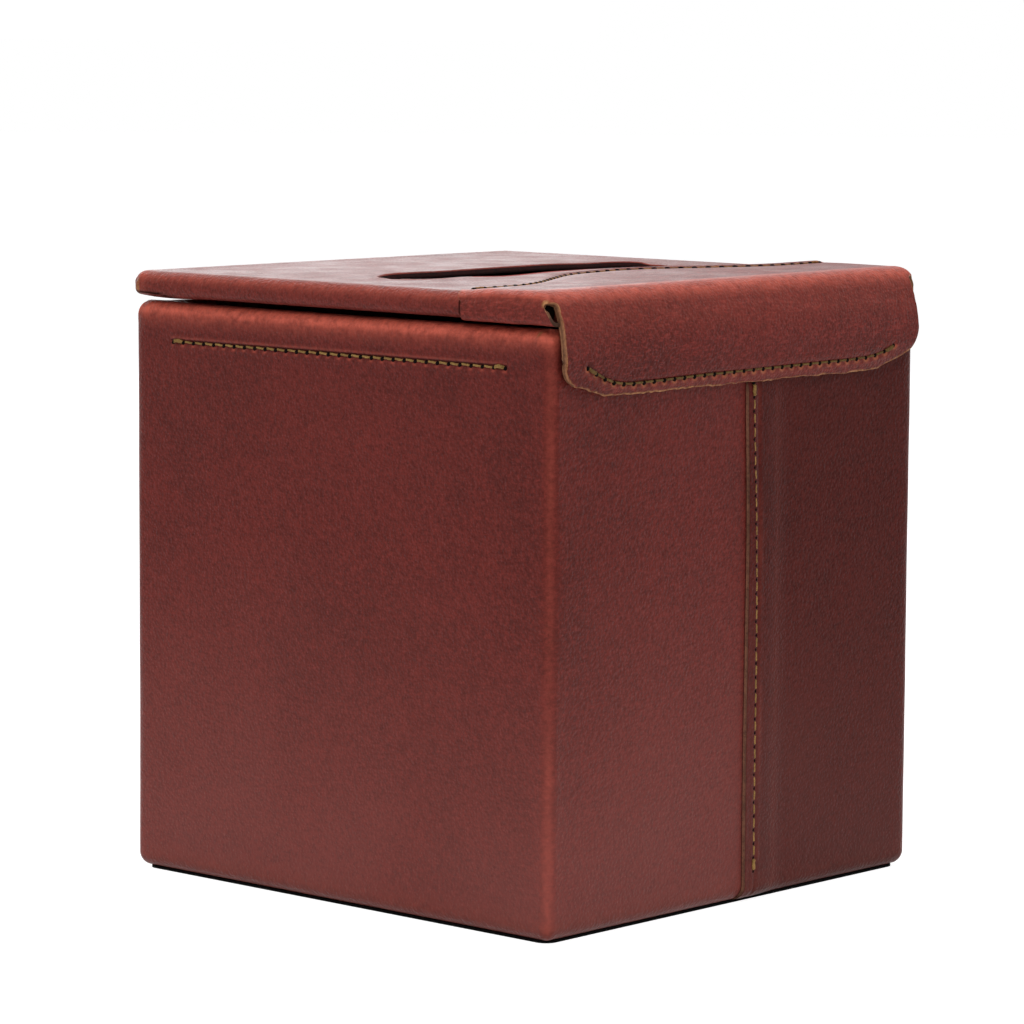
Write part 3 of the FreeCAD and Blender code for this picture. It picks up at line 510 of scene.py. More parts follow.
    # Painted shadow: a thin line just above each wall row, and another along the lap's edge.
    dark = 0.95 * hump(above_row - 0.40, 0.15) * in_row
    dark += 0.9 * hump(past_edge + 0.16, 0.16) * (side == 2) * tall
    dark += np.where(beyond, 0.36 + 0.08 * smooth((past_edge - 2.0) / 4.0), 0.3 * (side == 3))
    spot = np.exp(-((along - straight_y + 0.9) ** 2 / 0.30 + (height - 133.0) ** 2 / 0.30))
    flesh_and_highlight = 0.95 * spot * (side == 0) * is_outer

    cut = (side == 2) & (np.abs(past_edge + 0.03) < 0.02) & (outer > 0.9) & (height < LAP_TOP)
    item = make_mesh("body_wrap", join(px, py, pz), grid_faces(*px.shape, True, True),
                     [hide, lap_cut_edge], cut,
                     {"wear_and_highlight": wear_and_highlight * is_outer, "dark": dark, "flesh_and_highlight": flesh_and_highlight, "calm": calm})
    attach(item, "box")
    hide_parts("body_leather")


# ---------------------------------------------------------------- thread

def strand(start, end, normal, radius, crown, sink, aside, phase):
    """One twisted stitch that comes up out of one hole, lies on the leather and goes down the next."""
    steps, around = 14, 9
    t = np.linspace(0.0, 1.0, steps)
    length = np.linalg.norm(end - start)
    across = np.cross(normal, (end - start) / length)
    rise = -sink + (sink + crown) * smooth(t / 0.16) * smooth((1.0 - t) / 0.16)
    centre = (start + np.outer(t, end - start) + np.outer(rise, normal)
              + np.outer(aside * np.sin(t * math.pi), across))
    angle = circle(around)
    twist = phase + t[:, None] * length / 1.5 * math.pi
    r = radius * (1.0 + 0.16 * np.cos(2.0 * (angle + twist)))
    ring = (np.cos(angle)[:, None] * across + 0.82 * np.sin(angle)[:, None] * normal) * r[..., None]
    faces = [tuple(q) for q in grid_faces(steps, around, False, True)]
    faces += [tuple(range(around))[::-1], tuple(range((steps - 1) * around, steps * around))]
    return (centre[:, None, :] + ring).reshape(-1, 3), faces


def bead(centre, normal, along, size):
    """A dark lens of painted shade that stands for the open mouth of a needle hole."""
    rings, around = 6, 10
    across = np.cross(normal, along)
    up = np.linspace(-math.pi / 2, math.pi / 2, rings + 2)[1:-1, None, None]
    turn = circle(around)[None, :, None]
    ball = (centre + along * size[0] * np.cos(up) * np.cos(turn) + across * size[1] * np.cos(up) * np.sin(turn)
            + normal * size[2] * np.sin(up)).reshape(-1, 3)
    points = np.concatenate([[centre - normal * size[2]], ball, [centre + normal * size[2]]])
    faces = [tuple(q) for q in grid_faces(rings, around, False, True, 1)]
    last = len(points) - 1
    for k in range(around):
        n = (k + 1) % around
        faces += [(0, 1 + n, 1 + k), (last, last - around + k, last - around + n)]
    return points, faces


def make_row(name, holes, normals, body, node, material, seed, radius=0.25, crown=0.09,
             mouth=(0.60, 0.56, 0.42), shift=(0.0, 0.0, -0.26), knot=1.7, slant=0.0):
    """A row of stitches through the holes, with a doubled stitch at each end.

    shift is how far the mouths of the holes lie from the line of the thread, and slant is how far each
    stitch starts above it and ends below it."""
    normals = unit(np.broadcast_to(normals, holes.shape))
    points, faces, kinds = [], [], []

    def take(part, kind):
        total = sum(map(len, points))
        points.append(part[0])
        faces.extend([tuple(i + total for i in face) for face in part[1]])
        kinds.extend([kind] * len(part[1]))

    count = len(holes) - 1
    tip = np.array([0.0, 0.0, slant])
    for k in range(count):
        start, end = holes[k], holes[k + 1]
        normal = unit(normals[k] + normals[k + 1])
        gap = (end - start) * 0.09
        wander = 0.05 * float(lattice(k, 3.0, seed))
        phase = 6.0 * float(lattice(k, 8.0, seed))
        take(strand(start + gap + tip, end - gap - tip, normal, radius, crown, 0.45, wander, phase), 0)
        if k in (0, count - 1):
            take(strand(start + gap * 0.4, end - gap * 0.4, normal, radius * knot, crown + 0.22, 0.5, 0.26,
                        phase + 1.0), 0)
    for k, normal in enumerate(normals):
        towards = holes[min(k + 1, count)] - holes[max(k - 1, 0)]
        towards = unit(towards - normal * (towards @ normal))
        take(bead(holes[k] - normal * 0.13 + np.array(shift), normal, towards, mouth), 1)
    item = make_mesh(name, np.concatenate(points), faces, [material, hole], kinds)
    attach(item, body)
    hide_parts(node)


def make_wall_rows():
    places = hole_places()
    walls = ("right", (1.0, 0.0)), ("left", (-1.0, 0.0)), ("front", (0.0, -1.0))
    for seed, (name, way) in enumerate(walls, 1):
        x = places if name == "front" else way[0] * (HALF_X - 0.18)
        y = way[1] * (HALF_Y - 0.18) if name == "front" else places
        holes = join(x, y, ROW_HEIGHT)
        make_row("thread_%s_wall" % name, holes, (*way, 0.0), "box", "rim_stitching_" + name, pale_thread, seed,
                 slant=0.13)
    up = np.linspace(LAP_ROW_FOOT, LAP_ROW_TOP, LAP_STITCHES + 1)
    x = LAP_EDGE + lap_row_from_edge(up) + lap_shift(up) + 0.2 + 0.10 * np.sin(up * 0.9)
    holes = join(x, HALF_Y + LAP_STEP - 0.14, up)
    make_row("thread_back_lap", holes, (0.0, 1.0, 0.0), "box", "back_seam_stitching", pale_thread, 4,
             radius=0.26, crown=0.07, mouth=(0.42, 0.40, 0.30), shift=(0.24, 0.14, 0.0))


# ---------------------------------------------------------------- the lid

def past_slot(x, y):
    """The distance outside the slot's rim."""
    return np.hypot(np.maximum(np.abs(x) - SLOT_HALF, 0.0), y) - SLOT_RADIUS


def lid_surface(x, y):
    crown = (1.0 - np.abs(x / LID_HALF) ** 2.5) * (1.0 - np.abs((y - LID_CENTRE_Y) / LID_HALF) ** 2.5)
    wave = 0.06 * noise(x, y, 30.0, 26.0, 31) + 0.02 * noise(x, y, 7.0, 6.0, 32)
    from_slot = past_slot(x, y)
    lip = 0.40 * hump(from_slot - 3.0, 3.0) * noise(x, y, 17.0, 9.0, 33)
    curl = (1.0 - smooth(from_slot / 1.6)) * smooth(y / 4.0) * (x > -18.0)
    rolled = 0.28 * curl * (0.65 + 0.35 * noise(x, 0 * x, 16.0, 5.0, 34))
    rolled += 0.42 * (1.0 - smooth(from_slot / 6.0)) * smooth(-y / 4.0) * (0.8 - 0.3 * x / 40.0)
    inward = LID_HALF - np.maximum(np.abs(x), np.abs(y - LID_CENTRE_Y))
    return LID_TOP + (0.45 + wave) * share_of(crown) + lip + rolled + 0.20 * hump(inward - 3.2, 2.6)


def make_lid_wrap():
    straight = LID_HALF - LID_CORNER
    even = np.linspace(0.0, 1.0, 64)
    beside_strap = STRAP_CROSSES + np.array([-0.75, -0.45, -0.2, 0.0, 0.2, 0.45, 0.85])
    fine = np.union1d(even, (beside_strap - LID_CENTRE_Y + straight) / (2 * straight))
    side, share = go_round((fine, even, even, even), 12)
    rings, tags = [], []

    def add(x, y, z, tag):
        rings.append(join(x, y, z))
        tags.append(tag)

    def ring(depth, z, tag, follow=0.0):
        x, y = outline(side, share, depth, LID_HALF, LID_HALF, LID_CORNER, LID_CENTRE_Y)
        add(x, y, z + follow * (lid_surface(x, y) - LID_TOP), tag)

    for depth in (13.5, 8.0, 4.5):
        ring(depth, LID_FOOT, "under")
    for depth, rise in arc(UNDER_RADIUS, -90.0, 0.0, 7):
        ring(depth, LID_FOOT + UNDER_RADIUS + rise, "edge")
    for depth, rise in arc(LID_RADIUS, 0.0, 90.0, 11):
        ring(depth, LID_TOP - LID_RADIUS + rise, "edge", (rise / LID_RADIUS) ** 2)
    for depth in (4.2, 5.6, 7.2, 9.0, 11.0, 13.5):
        ring(depth, LID_TOP, "top", 1.0)
    ox, oy, _ = rings[-1].T
    spine = np.clip(ox, -SLOT_HALF, SLOT_HALF)
    reach = unit(join(ox - spine, oy))
    lip = join(spine, 0 * oy) + reach * SLOT_RADIUS
    lip_x, lip_y = lip.T
    # The cut wanders: it is wider on its far side, and on its near side towards -X.
    wobble = 0.18 * noise(lip_x, lip_y * 3.0, 11.0, 9.0, 35) + 0.9 * smooth(-lip_y / 6.0)
    wobble += 1.5 * smooth(lip_y / 6.0) * smooth((-12.0 - lip_x) / 8.0)
    lip = lip + reach * wobble[:, None]

    def beside_lip(inward):
        return (lip + reach * inward).T

    for t in np.linspace(0.0, 1.0, 34)[1:]:
        t = 1.0 - (1.0 - t) ** 1.25
        x, y = np.array([ox, oy]) * (1 - t) + beside_lip(0.4) * t
        add(x, y, lid_surface(x, y), "top")
    at_lip = lid_surface(*lip.T)
    for inward, down, tag in ((0.12, 0.10, "lip"), (0.0, 0.32, "lip"), (0.0, 0.34, "cut"), (-0.05, 0.9, "cut"),
                              (0.0, 1.5, "cut")):
        add(*beside_lip(inward), at_lip - down, tag)
    # The hidden inner face closes the leather round the board.
    for t in (0.5, 1.0):
        add(*(lip.T * (1 - t) + np.array([ox, oy]) * t), BOARD_TOP, "inner")
    for depth, z in ((1.62, BOARD_TOP), (1.62, BOARD_FOOT), (13.5, BOARD_FOOT)):
        ring(depth, z, "inner")

    x, y, z = np.moveaxis(np.stack(rings), -1, 0)
    from_slot = past_slot(x, y)
    tags = np.array(tags)[:, None]
    kind = np.where((tags == "cut") | (tags == "lip") & (np.roll(tags, -1) == "cut"), 1, 0)
    red = (tags == "top") & (from_slot < 1.5) & (y > 3.0) & (np.abs(x + 4.0) < 34.0)
    kind = np.where(red, 2, kind)
    is_edge = ((tags == "edge") | (tags == "under")).astype(float)
    # The folded corners, soft waves along the sides, and the thin turned-in layer that shows below.
    corner = np.where(side % 2 == 1, 1.0, hump(np.minimum(share, 1.0 - share) * 2 * straight, 2.2))
    turn = share + side
    fold = 0.22 * corner * noise(turn * 9.0, z, 1.0, 1.6, 41)
    fold += 0.10 * noise(turn * 14.0, z * 0.4, 1.0, 1.0, 42)
    out_x, out_y = np.moveaxis(unit(join(x, y - LID_CENTRE_Y)), -1, 0) * fold * is_edge
    x, y = x + out_x, y + out_y
    z = z + 0.14 * is_edge * corner * hump(z - LID_FOOT, 1.2)
    z = z - 0.32 * is_edge * hump(y + 53.0, 8.0) * (side == 0) * smooth((138.0 - z) / 2.0)

    # Rubbed leather with painted highlights along the top edge, round the slot and at the corners.
    wear_and_highlight = 0.36 * hump(z - (LID_TOP - 0.7), 1.1) * is_edge + 0.08 * is_edge * hump(z - 139.0, 2.0)
    wear_and_highlight += 0.30 * hump(past_slot(x, y) - 0.3, 0.9) * (z > 140.6) + 0.20 * corner * is_edge
    strip = hump(share - 0.87, 0.12) * ((side == 7) | (side == 5)) * is_edge
    flesh_and_highlight = strip * smooth((140.2 - z) / 1.6) * (0.75 + 0.35 * noise(z, turn * 30.0, 0.7, 1.0, 44))
    # The turned-in layer shows as a line that runs out of each corner along the foot of the side.
    near_corner = np.where(side % 2 == 1, 1.0, smooth((np.abs(y - LID_CENTRE_Y) - 50.0) / 8.0))
    under_line = hump(z - 135.3 - 0.95 * near_corner, 0.24) * is_edge * (near_corner > 0.02)
    # Painted shade along the lid's foot and on the corner under the strap's near wrap, and a painted contact
    # shadow in front of the strap's edge.
    dark = 0.95 * under_line + 0.25 * hump(z - 135.6, 0.6) * is_edge
    dark = np.maximum(dark, is_edge * (side == 1))
    dark = np.maximum(dark, 0.9 * is_edge * hump(y - STRAP_CROSSES, 0.26) * (side == 0))
    item = make_mesh("lid_wrap", join(x, y, z), grid_faces(*x.shape, True, True),
                     [lid_hide, slot_cut_edge, slot_lip], kind,
                     {"wear_and_highlight": wear_and_highlight, "flesh_and_highlight": flesh_and_highlight, "dark": dark, "calm": 0.12 * share_of(wear_and_highlight)})
    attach(item, "lid")
    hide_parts("lid_leather")


# ---------------------------------------------------------------- the strap

def tongue_front(x):
    """The strap's front edge on the lid."""
    ease = smooth((np.abs(x) - 5.0) / 44.0)
    return NOSE_Y + (SHOULDER_Y - NOSE_Y) * ease + 0.10 * noise(x, 0 * x, 9.0, 5.0, 51)


def flap_foot(x):
    """The flap's lower edge: nearly level, with a slope and a round at each end."""
    right = np.maximum(x - (FLAP_RIGHT - 16.0), 0.0)
    left = np.maximum(FLAP_LEFT + 15.5 - x, 0.0)
    rise = 0.245 * (np.sqrt(right ** 2 + 0.5) - 0.707) + 0.31 * (np.sqrt(left ** 2 + 1.0) - 1.0)
    radius = 4.2
    near_right = np.clip(x - (FLAP_RIGHT - radius), 0.0, radius)
    near_left = np.clip(FLAP_LEFT + radius - x, 0.0, radius)
    round_off = 2 * radius - np.sqrt(radius ** 2 - near_right ** 2) - np.sqrt(radius ** 2 - near_left ** 2)
    ragged = 0.16 * noise(x, 0 * x, 1.3, 5.0, 52) + 0.14 * noise(x, 0 * x, 7.0, 5.0, 53)
    return 119.25 - 0.006 * x + rise + round_off + ragged * smooth((3.0 - round_off) / 2.0)


def strap_path(s):
    """The strap's outer face in side view by arc length from the start of the bend."""
    s = np.asarray(s, float)
    phi = np.clip(s / BEND_RADIUS, 0.0, BEND_END)
    turn = np.maximum(s - BEND_LENGTH, 0.0) / DROP_RADIUS
    angle = math.pi / 2 - BEND_END - turn
    dropped = turn > 0
    # The leather stays flat a little longer and then turns more sharply than the arc.
    square = BEND_RADIUS + 0.42 * hump(s - 4.0, 2.6)
    y = np.where(dropped, DROP_CENTRE[0] + DROP_RADIUS * np.cos(angle),
                 BEND_CENTRE[0] + square * np.sin(phi) + np.minimum(s, 0.0))
    z = np.where(dropped, DROP_CENTRE[1] + DROP_RADIUS * np.sin(angle), BEND_CENTRE[1] + square * np.cos(phi))
    return y, z, np.where(dropped, np.cos(angle), np.sin(phi)), np.where(dropped, np.sin(angle), np.cos(phi))


def drop_to(z):
    """The arc length at which the dropping face reaches a height."""
    angle = np.arcsin(np.clip((z - DROP_CENTRE[1]) / DROP_RADIUS, -1.0, 1.0))
    return BEND_LENGTH + DROP_RADIUS * (math.pi / 2 - BEND_END - angle)


def strap_top(x, y):
    """The strap's upper face on the lid: thin at its sewn edge and full behind it."""
    inside = y - tongue_front(x)
    full = 142.42 - 0.0045 * x + 0.36 * smooth(1.0 - inside / 1.7) * (0.5 - 0.5 * np.tanh((x - 25.0) / 12.0))
    sink = (0.40 + 0.32 * np.tanh(x / 18.0)) * (1.0 - smooth(inside / 10.0))
    return full - sink + 0.05 * noise(x, y, 22.0, 15.0, 54)


def even_places(line, count):
    """Points at equal steps along a line."""
    length = np.concatenate([[0.0], np.cumsum(np.linalg.norm(np.diff(line, axis=0), axis=1))])
    wanted = np.linspace(0.0, length[-1], count + 1)
    return join(*[np.interp(wanted, length, line[:, k]) for k in range(line.shape[1])])


def tongue_row():
    x = np.linspace(-60.5, 60.5, 1500)
    front = tongue_front(x)
    return even_places(join(x, front + 2.45 * np.sqrt(1.0 + np.gradient(front, x) ** 2)), 38)


def flap_row():
    """A smooth curve through FLAP_ROW."""
    knots = np.array(FLAP_ROW)
    last = len(knots) - 1
    fine = np.linspace(0, last, 1200)
    i = np.clip(np.floor(fine).astype(int), 0, last - 1)
    u = (fine - i)[:, None]
    p0, p1, p2, p3 = knots[np.maximum(i - 1, 0)], knots[i], knots[i + 1], knots[np.minimum(i + 2, last)]
    line = 0.5 * (2 * p1 + (p2 - p0) * u + (2 * p0 - 5 * p1 + 4 * p2 - p3) * u ** 2
                  + (3 * p1 - p0 - 3 * p2 + p3) * u ** 3)
    line[:, 1] -= 0.15 + (54.0 - line[:, 0]) / 108.0
    return even_places(line, 32)


def distances(points, x, y, reach=6.0):
    """The distance from each (x, y) to the nearest of some points, and to the line through them."""
    to_point, to_line = np.full(x.shape, reach), np.full(x.shape, reach)
    for ax, ay in points:
        to_point = np.minimum(to_point, np.hypot(x - ax, y - ay))
    for (ax, ay), (bx, by) in zip(points[:-1], points[1:]):
        dx, dy = bx - ax, by - ay
        t = share_of(((x - ax) * dx + (y - ay) * dy) / (dx * dx + dy * dy))
        to_line = np.minimum(to_line, np.hypot(x - ax - t * dx, y - ay - t * dy))
    return to_point, to_line


def solidify(points, normals, thick, quad_ok, slit_ends):
    """A closed skin round a sheet: its outer face, its inner face and the rounded cut edge between.

    It returns the points, faces, kinds of face, the outer face's own grid indices and how dark the edge is."""
    count = points.shape[0] * points.shape[1]
    index = np.arange(count).reshape(points.shape[:2])
    quads = join(index[:-1, :-1], index[1:, :-1], index[1:, 1:], index[:-1, 1:])[quad_ok]
    outer = points.reshape(-1, 3)
    face_normal = np.cross(outer[quads[:, 2]] - outer[quads[:, 0]], outer[quads[:, 3]] - outer[quads[:, 1]])
    total = np.zeros((count, 3))
    for k in range(4):
        np.add.at(total, quads[:, k], face_normal)
    normal = unit(total)
    if np.sum(normal * normals.reshape(-1, 3)) < 0:
        quads, normal = quads[:, ::-1], -normal
    inner = outer - normal * thick.reshape(-1, 1)

    edges = {}
    for quad in quads:
        for a, b in zip(quad, np.roll(quad, -1)):
            key = (min(a, b), max(a, b))
            edges[key] = None if key in edges else (int(a), int(b))
    border = [pair for pair in edges.values() if pair is not None]
    outward = {}
    for a, b in border:
        for v in (a, b):
            outward[v] = outward.get(v, 0.0) + np.cross(outer[b] - outer[a], normal[v])
    used = np.unique(quads)
    remap = -np.ones(count, int)
    remap[used] = np.arange(len(used))
    profile = [(0.0, 0.0), (0.14, 0.10), (0.50, 0.13), (0.86, 0.10), (1.0, 0.0)]
    ids, extra, extra_dark = {}, [], []
    for v, way in outward.items():
        x, _, z = outer[v]
        shaggy = 1.0 + 0.7 * float(noise(x + z, 0.0, 0.9, 1.0, 71))
        low = 0.95 * float(smooth((137.2 - z) / 0.7)) if v in slit_ends else 0.0
        ids[v] = 2 * len(used) + len(extra)
        for share, bulge in profile:
            extra.append(outer[v] * (1 - share) + inner[v] * share + unit(way) * bulge * shaggy)
            extra_dark.append(max(low, 0.62 if share == 0.50 else 0.0))
    faces = [tuple(remap[q]) for q in quads] + [tuple((remap[q] + len(used))[::-1]) for q in quads]
    kinds = [0] * len(quads) + [2] * len(quads)
    for a, b in border:
        for k in range(len(profile) - 1):
            faces.append((ids[b] + k, ids[a] + k, ids[a] + k + 1, ids[b] + k + 1))
            kinds.append(1)
    return np.concatenate([outer[used], inner[used], extra]), faces, kinds, used, extra_dark


def make_strap():
    # Columns: the far side wrap, the far edge, the flat middle, the near edge and the near side wrap. Their
    # part is 2, 1, 0, 1 and 2, and their value is x in the middle and a share from 0 to 1 elsewhere.
    middle = np.arange(-FLAT, FLAT + 0.01, 0.4)
    edge_share = np.linspace(0.0, 1.0, 8)[1:]
    side_share = np.linspace(0.0, 1.0, 15)[1:]
    value = np.concatenate([side_share[::-1], edge_share[::-1], middle, edge_share, side_share])
    half_part = [2] * len(side_share) + [1] * len(edge_share)
    part = np.array(half_part + [0] * len(middle) + half_part[::-1])
    columns = len(part)
    sign = np.where(np.arange(columns) < len(half_part), -1.0, 1.0)
    is_middle, is_edge, is_side = part == 0, part == 1, part == 2
    x0 = np.where(is_middle, value, sign * FLAT)

    def by_part(middle_value, edge_value, side_value):
        return np.select([is_middle, is_edge], [middle_value, edge_value], side_value)

    # Rows: from the front edge over the lid (top, span), round the bend (arc), and down the drop to the foot.
    near_edge = [0.0, 0.2, 0.5, 0.9, 1.3, 1.65, 1.95, 2.2, 2.45, 2.7, 2.95, 3.25, 3.6, 4.1, 4.8, 5.8, 7.2, 9.0]
    margin = near_edge[-1]
    rows = [("top", d) for d in near_edge] + [("span", t) for t in np.linspace(0.0, 1.0, 17)[1:]]
    top_rows = len(rows)
    bend = (0.12, 0.23, 0.37, 0.51, 0.63, 0.72, 0.79, 0.85, 0.9, 0.94, 0.97, 1.0)
    rows += [("arc", SLIT_AT * t) for t in bend]
    slit_row = len(rows) - 1
    notch = [SLIT_AT + step for step in (0.08, 0.2, 0.4, 0.65, 0.95, 1.3, 1.75)]
    rows += [("arc", s) for s in [*notch, *np.linspace(notch[-1], float(drop_to(FALL_FROM)), 22)[1:]]]
    rows += [("fall", t) for t in np.linspace(0.0, 1.0, 7)[1:]] + [("foot", d) for d in near_edge[-2::-1]]

    edge_angle, round_radius = math.radians(52.0), 3.6
    bend_y = BEND_CENTRE[0]
    points = np.zeros((len(rows), columns, 3))
    normals = np.zeros((len(rows), columns, 3))
    thick = np.full((len(rows), columns), 1.4)
    front_line = np.linspace(-FLAT, FLAT, 400)
    slope = np.interp(x0, front_line, np.gradient(tongue_front(front_line), front_line))
    stretch = np.where(is_side, 1.0, np.sqrt(1.0 + slope ** 2))
    corner_rise = by_part(0.0, 1.6 * np.abs(value) ** 1.2, 1.6 + 1.55 * smooth(value / 0.22))
    front = tongue_front(x0) + corner_rise
    foot_from, foot_to = FLAP_LEFT + 0.02, FLAP_RIGHT - 0.02
    foot_line = np.linspace(foot_from, foot_to, 800)
    foot_slope = np.gradient(flap_foot(foot_line), foot_line)
    free = np.where(sign > 0, FLAP_RIGHT, -FLAP_LEFT) - FLAT
    # The section near the sides: round over the lid's edge where wrapped, and flat where it hangs free.
    run = value * (1.0 + round_radius * edge_angle)
    theta = np.clip((run - 1.0) / round_radius, 0.0, edge_angle)
    round_x = FLAT + np.minimum(run, 1.0) + round_radius * np.sin(theta)
    round_drop = round_radius * (1.0 - np.cos(theta))
    # The side wraps go down the lid's sides from the end of that round and a little way under.
    start_drop = round_radius * (1.0 - math.cos(edge_angle))
    start_x, side_face = FLAT + 1.0 + round_radius * math.sin(edge_angle), 65.62
    under_from, under_z = 0.72, LID_FOOT - 0.55
    under = share_of((value - under_from) / 0.28) * math.pi / 2
    side_x = start_x + (side_face - start_x) * smooth(value / 0.34)
    side_x -= 1.5 * (1.0 - np.cos(under)) + 1.0 * share_of((value - 0.9) / 0.1)
    # The near wrap's cut edge slants back as it goes down, and the far one is cut straight.
    tail = np.where(sign > 0, 4.1 * np.clip(value - 0.10, 0.0, 0.7), 0.0)
    side_normal = join(sign * np.cos(under) * smooth(value * 4 + 0.5), np.zeros(columns),
                            np.where(value > under_from, -np.sin(under), 0.5 * (1 - smooth(value / 0.3))))

    for r, (kind, amount) in enumerate(rows):
        if kind in ("top", "span"):
            if kind == "top":
                y = front + amount * stretch
            else:
                y = front + margin * stretch
                y = y + (bend_y - y) * amount
            blend_in = smooth((y - 48.0) / (bend_y - 48.0))
            z = strap_top(x0, y - corner_rise) * (1 - blend_in) + (142.5 - 0.0030 * x0) * blend_in
            ny, nz = np.zeros(columns), np.ones(columns)
            s = unpulled = y - bend_y
        else:
            if kind == "arc":
                # The near slit ends in a round hole.
                pull = by_part(0.0, value ** 3, 1.0 - smooth(value / 0.14))
                s = amount + 0.6 * pull * hump(amount - SLIT_AT, 1.5) * (sign > 0)
                unpulled = amount
            else:
                hang_x = by_part(value, sign * (FLAT + value * free), sign * (FLAT + free))
                hang_x = np.clip(hang_x, foot_from, foot_to)
                edge_z = flap_foot(hang_x)
                lean = np.minimum(np.abs(np.interp(hang_x, foot_line, foot_slope)), 1.2)
                widen = np.minimum(np.sqrt(1 + lean ** 2), 0.82 * (FALL_FROM - edge_z) / margin)
                fall = FALL_FROM + (edge_z + margin * widen - FALL_FROM) * amount
                s = unpulled = drop_to(fall if kind == "fall" else edge_z + amount * widen)
            y, z, ny, nz = strap_path(s)
            z = z - 0.0030 * x0 * (1.0 - smooth(s / 12.0))
        wrapped = share_of(1.0 - (unpulled - SLIT_AT) / 2.3) ** 3.2
        edge_x = round_x * wrapped + (FLAT + value * free) * (1 - wrapped)
        dip = np.where(is_edge, round_drop * wrapped, 0.0)
        down = z - nz * start_drop
        down = down + (under_z + 1.3 - down) * share_of(value / under_from)
        down = np.where(value > under_from, under_z + 1.3 - 1.3 * np.sin(under), down)
        back = smooth(s / SLIT_AT)
        face = join(np.where(is_middle, value, sign * edge_x), y - ny * dip, z - nz * dip)
        wrap = join(sign * side_x, y - ny * start_drop + tail * back, down)
        points[r] = np.where(is_side[:, None], wrap, face)
        nx = np.where(is_edge, sign * np.sin(theta) * wrapped, 0.0)
        n = join(nx, ny * np.sqrt(1 - nx ** 2), nz * np.sqrt(1 - nx ** 2))
        normals[r] = np.where(is_side[:, None], side_normal, n)
        if kind == "top":
            thick[r] = 0.75 + 0.5 * smooth(amount / 6.0)
        thick[r] = np.where(is_side, 0.7 + (0.2 + 0.4 * smooth(1.0 - value * 4.0)) * back, thick[r])

    normals = unit(normals)
    x, y, z = np.moveaxis(points, -1, 0)
    row_kind = np.array([kind for kind, _ in rows])[:, None]
    on_lid = (row_kind == "top") | (row_kind == "span")
    on_top, hanging = on_lid & is_middle, ~on_lid
    row_index = np.arange(len(rows))[:, None]
    lid_holes, drop_holes = tongue_row(), flap_row()

    # Grooves, needle holes, creases and wrinkles.
    top_hole, top_line = distances(lid_holes, x, y)
    face_hole, face_line = distances(drop_holes, x, z)
    on_flap = hanging & (z < 131.0)
    out = on_top * (-0.16 * hump(top_line, 0.5) - 0.2 * hump(top_hole, 0.45))
    out += on_flap * (-0.20 * hump(face_line, 0.5) + 0.10 * hump(face_line - 1.25, 0.5)
                      - 0.30 * hump(face_hole, 0.5)
                      - 0.10 * hump(z - flap_foot(np.clip(x, foot_from, foot_to)), 0.7))
    wrinkle = 0.10 * noise(x, z + 0.5 * noise(x, z, 12, 9, 61), 15.0, 2.1, 62)
    wrinkle += 0.05 * noise(x, z, 5.0, 1.3, 63) + 0.22 * noise(x, z, 46.0, 14.0, 64)
    out += wrinkle * smooth((139.0 - z) / 4.0) * (row_index > slit_row)
    out += 0.05 * noise(y, z, 6.0, 3.0, 65) * is_side
    points = points + normals * out[..., None]

    # Where the surface is rubbed, with painted highlights on the bend and on the lips round the holes.
    turned = np.where(hanging, 1.0, by_part(0.0, smooth(2.5 * value), 1.0))
    turned = np.maximum(turned, smooth((y - 57.6) / 2.4))
    wear_and_highlight = turned * np.where(is_side, 0.5, 1.0) * (0.66 * hump(z - 141.7, 1.9) + 0.13 * hump(z - 137.5, 5.0))
    below_row = np.interp(x, *drop_holes.T) - z
    wear_and_highlight += on_flap * 0.6 * hump(face_hole - 0.85, 0.30) * (below_row > -0.2)
    wear_and_highlight += on_flap * 0.10 * smooth((3.0 - face_line) / 2.0) * (below_row > 0)
    wear_and_highlight += on_top * 0.2 * hump(top_hole - 0.7, 0.35)
    # The cut edge is skived, so that a thin band of it shows on the face too.
    amounts = np.array([amount for _, amount in rows])[:, None]
    ragged = 0.30 + 0.16 * noise(x, z, 3.9, 1.9, 66) + 0.10 * noise(x, z, 0.9, 0.8, 67)
    from_side = (1.0 - value) * (FLAP_RIGHT - FLAT)
    flesh_and_highlight = smooth((0.02 + ragged - amounts) / 0.22) * (row_kind == "foot")
    flesh_and_highlight = np.maximum(flesh_and_highlight, smooth((ragged - from_side) / 0.2) * smooth((row_index - slit_row) / 4.0)
                     * (is_edge & hanging))
    flesh_and_highlight = np.maximum(flesh_and_highlight, 0.3 * smooth((ragged - amounts) / 0.2) * ((row_kind == "top") & ~is_side))
    # Painted highlight: the flesh colour on the lips below the flap's holes.
    flesh_and_highlight = np.maximum(flesh_and_highlight, on_flap * 0.50 * hump(face_hole - 0.82, 0.28) * (below_row > 0.1))
    slit_end = points[slit_row, columns - len(side_share) - 1]
    flesh_and_highlight = np.maximum(flesh_and_highlight, 0.95 * smooth((1.0 - np.linalg.norm(points - slit_end, axis=-1)) / 0.25))
    # Painted shadow along the grooves of both rows, and the flap darker towards its foot.
    dark = on_flap * (0.15 * smooth((131.0 - z) / 6.0) + 0.45 * hump(face_line, 0.25))
    dark += on_top * 0.5 * hump(top_line, 0.25)
    calm = np.broadcast_to(1.0 - smooth((row_index - top_rows) / 6.0), x.shape)

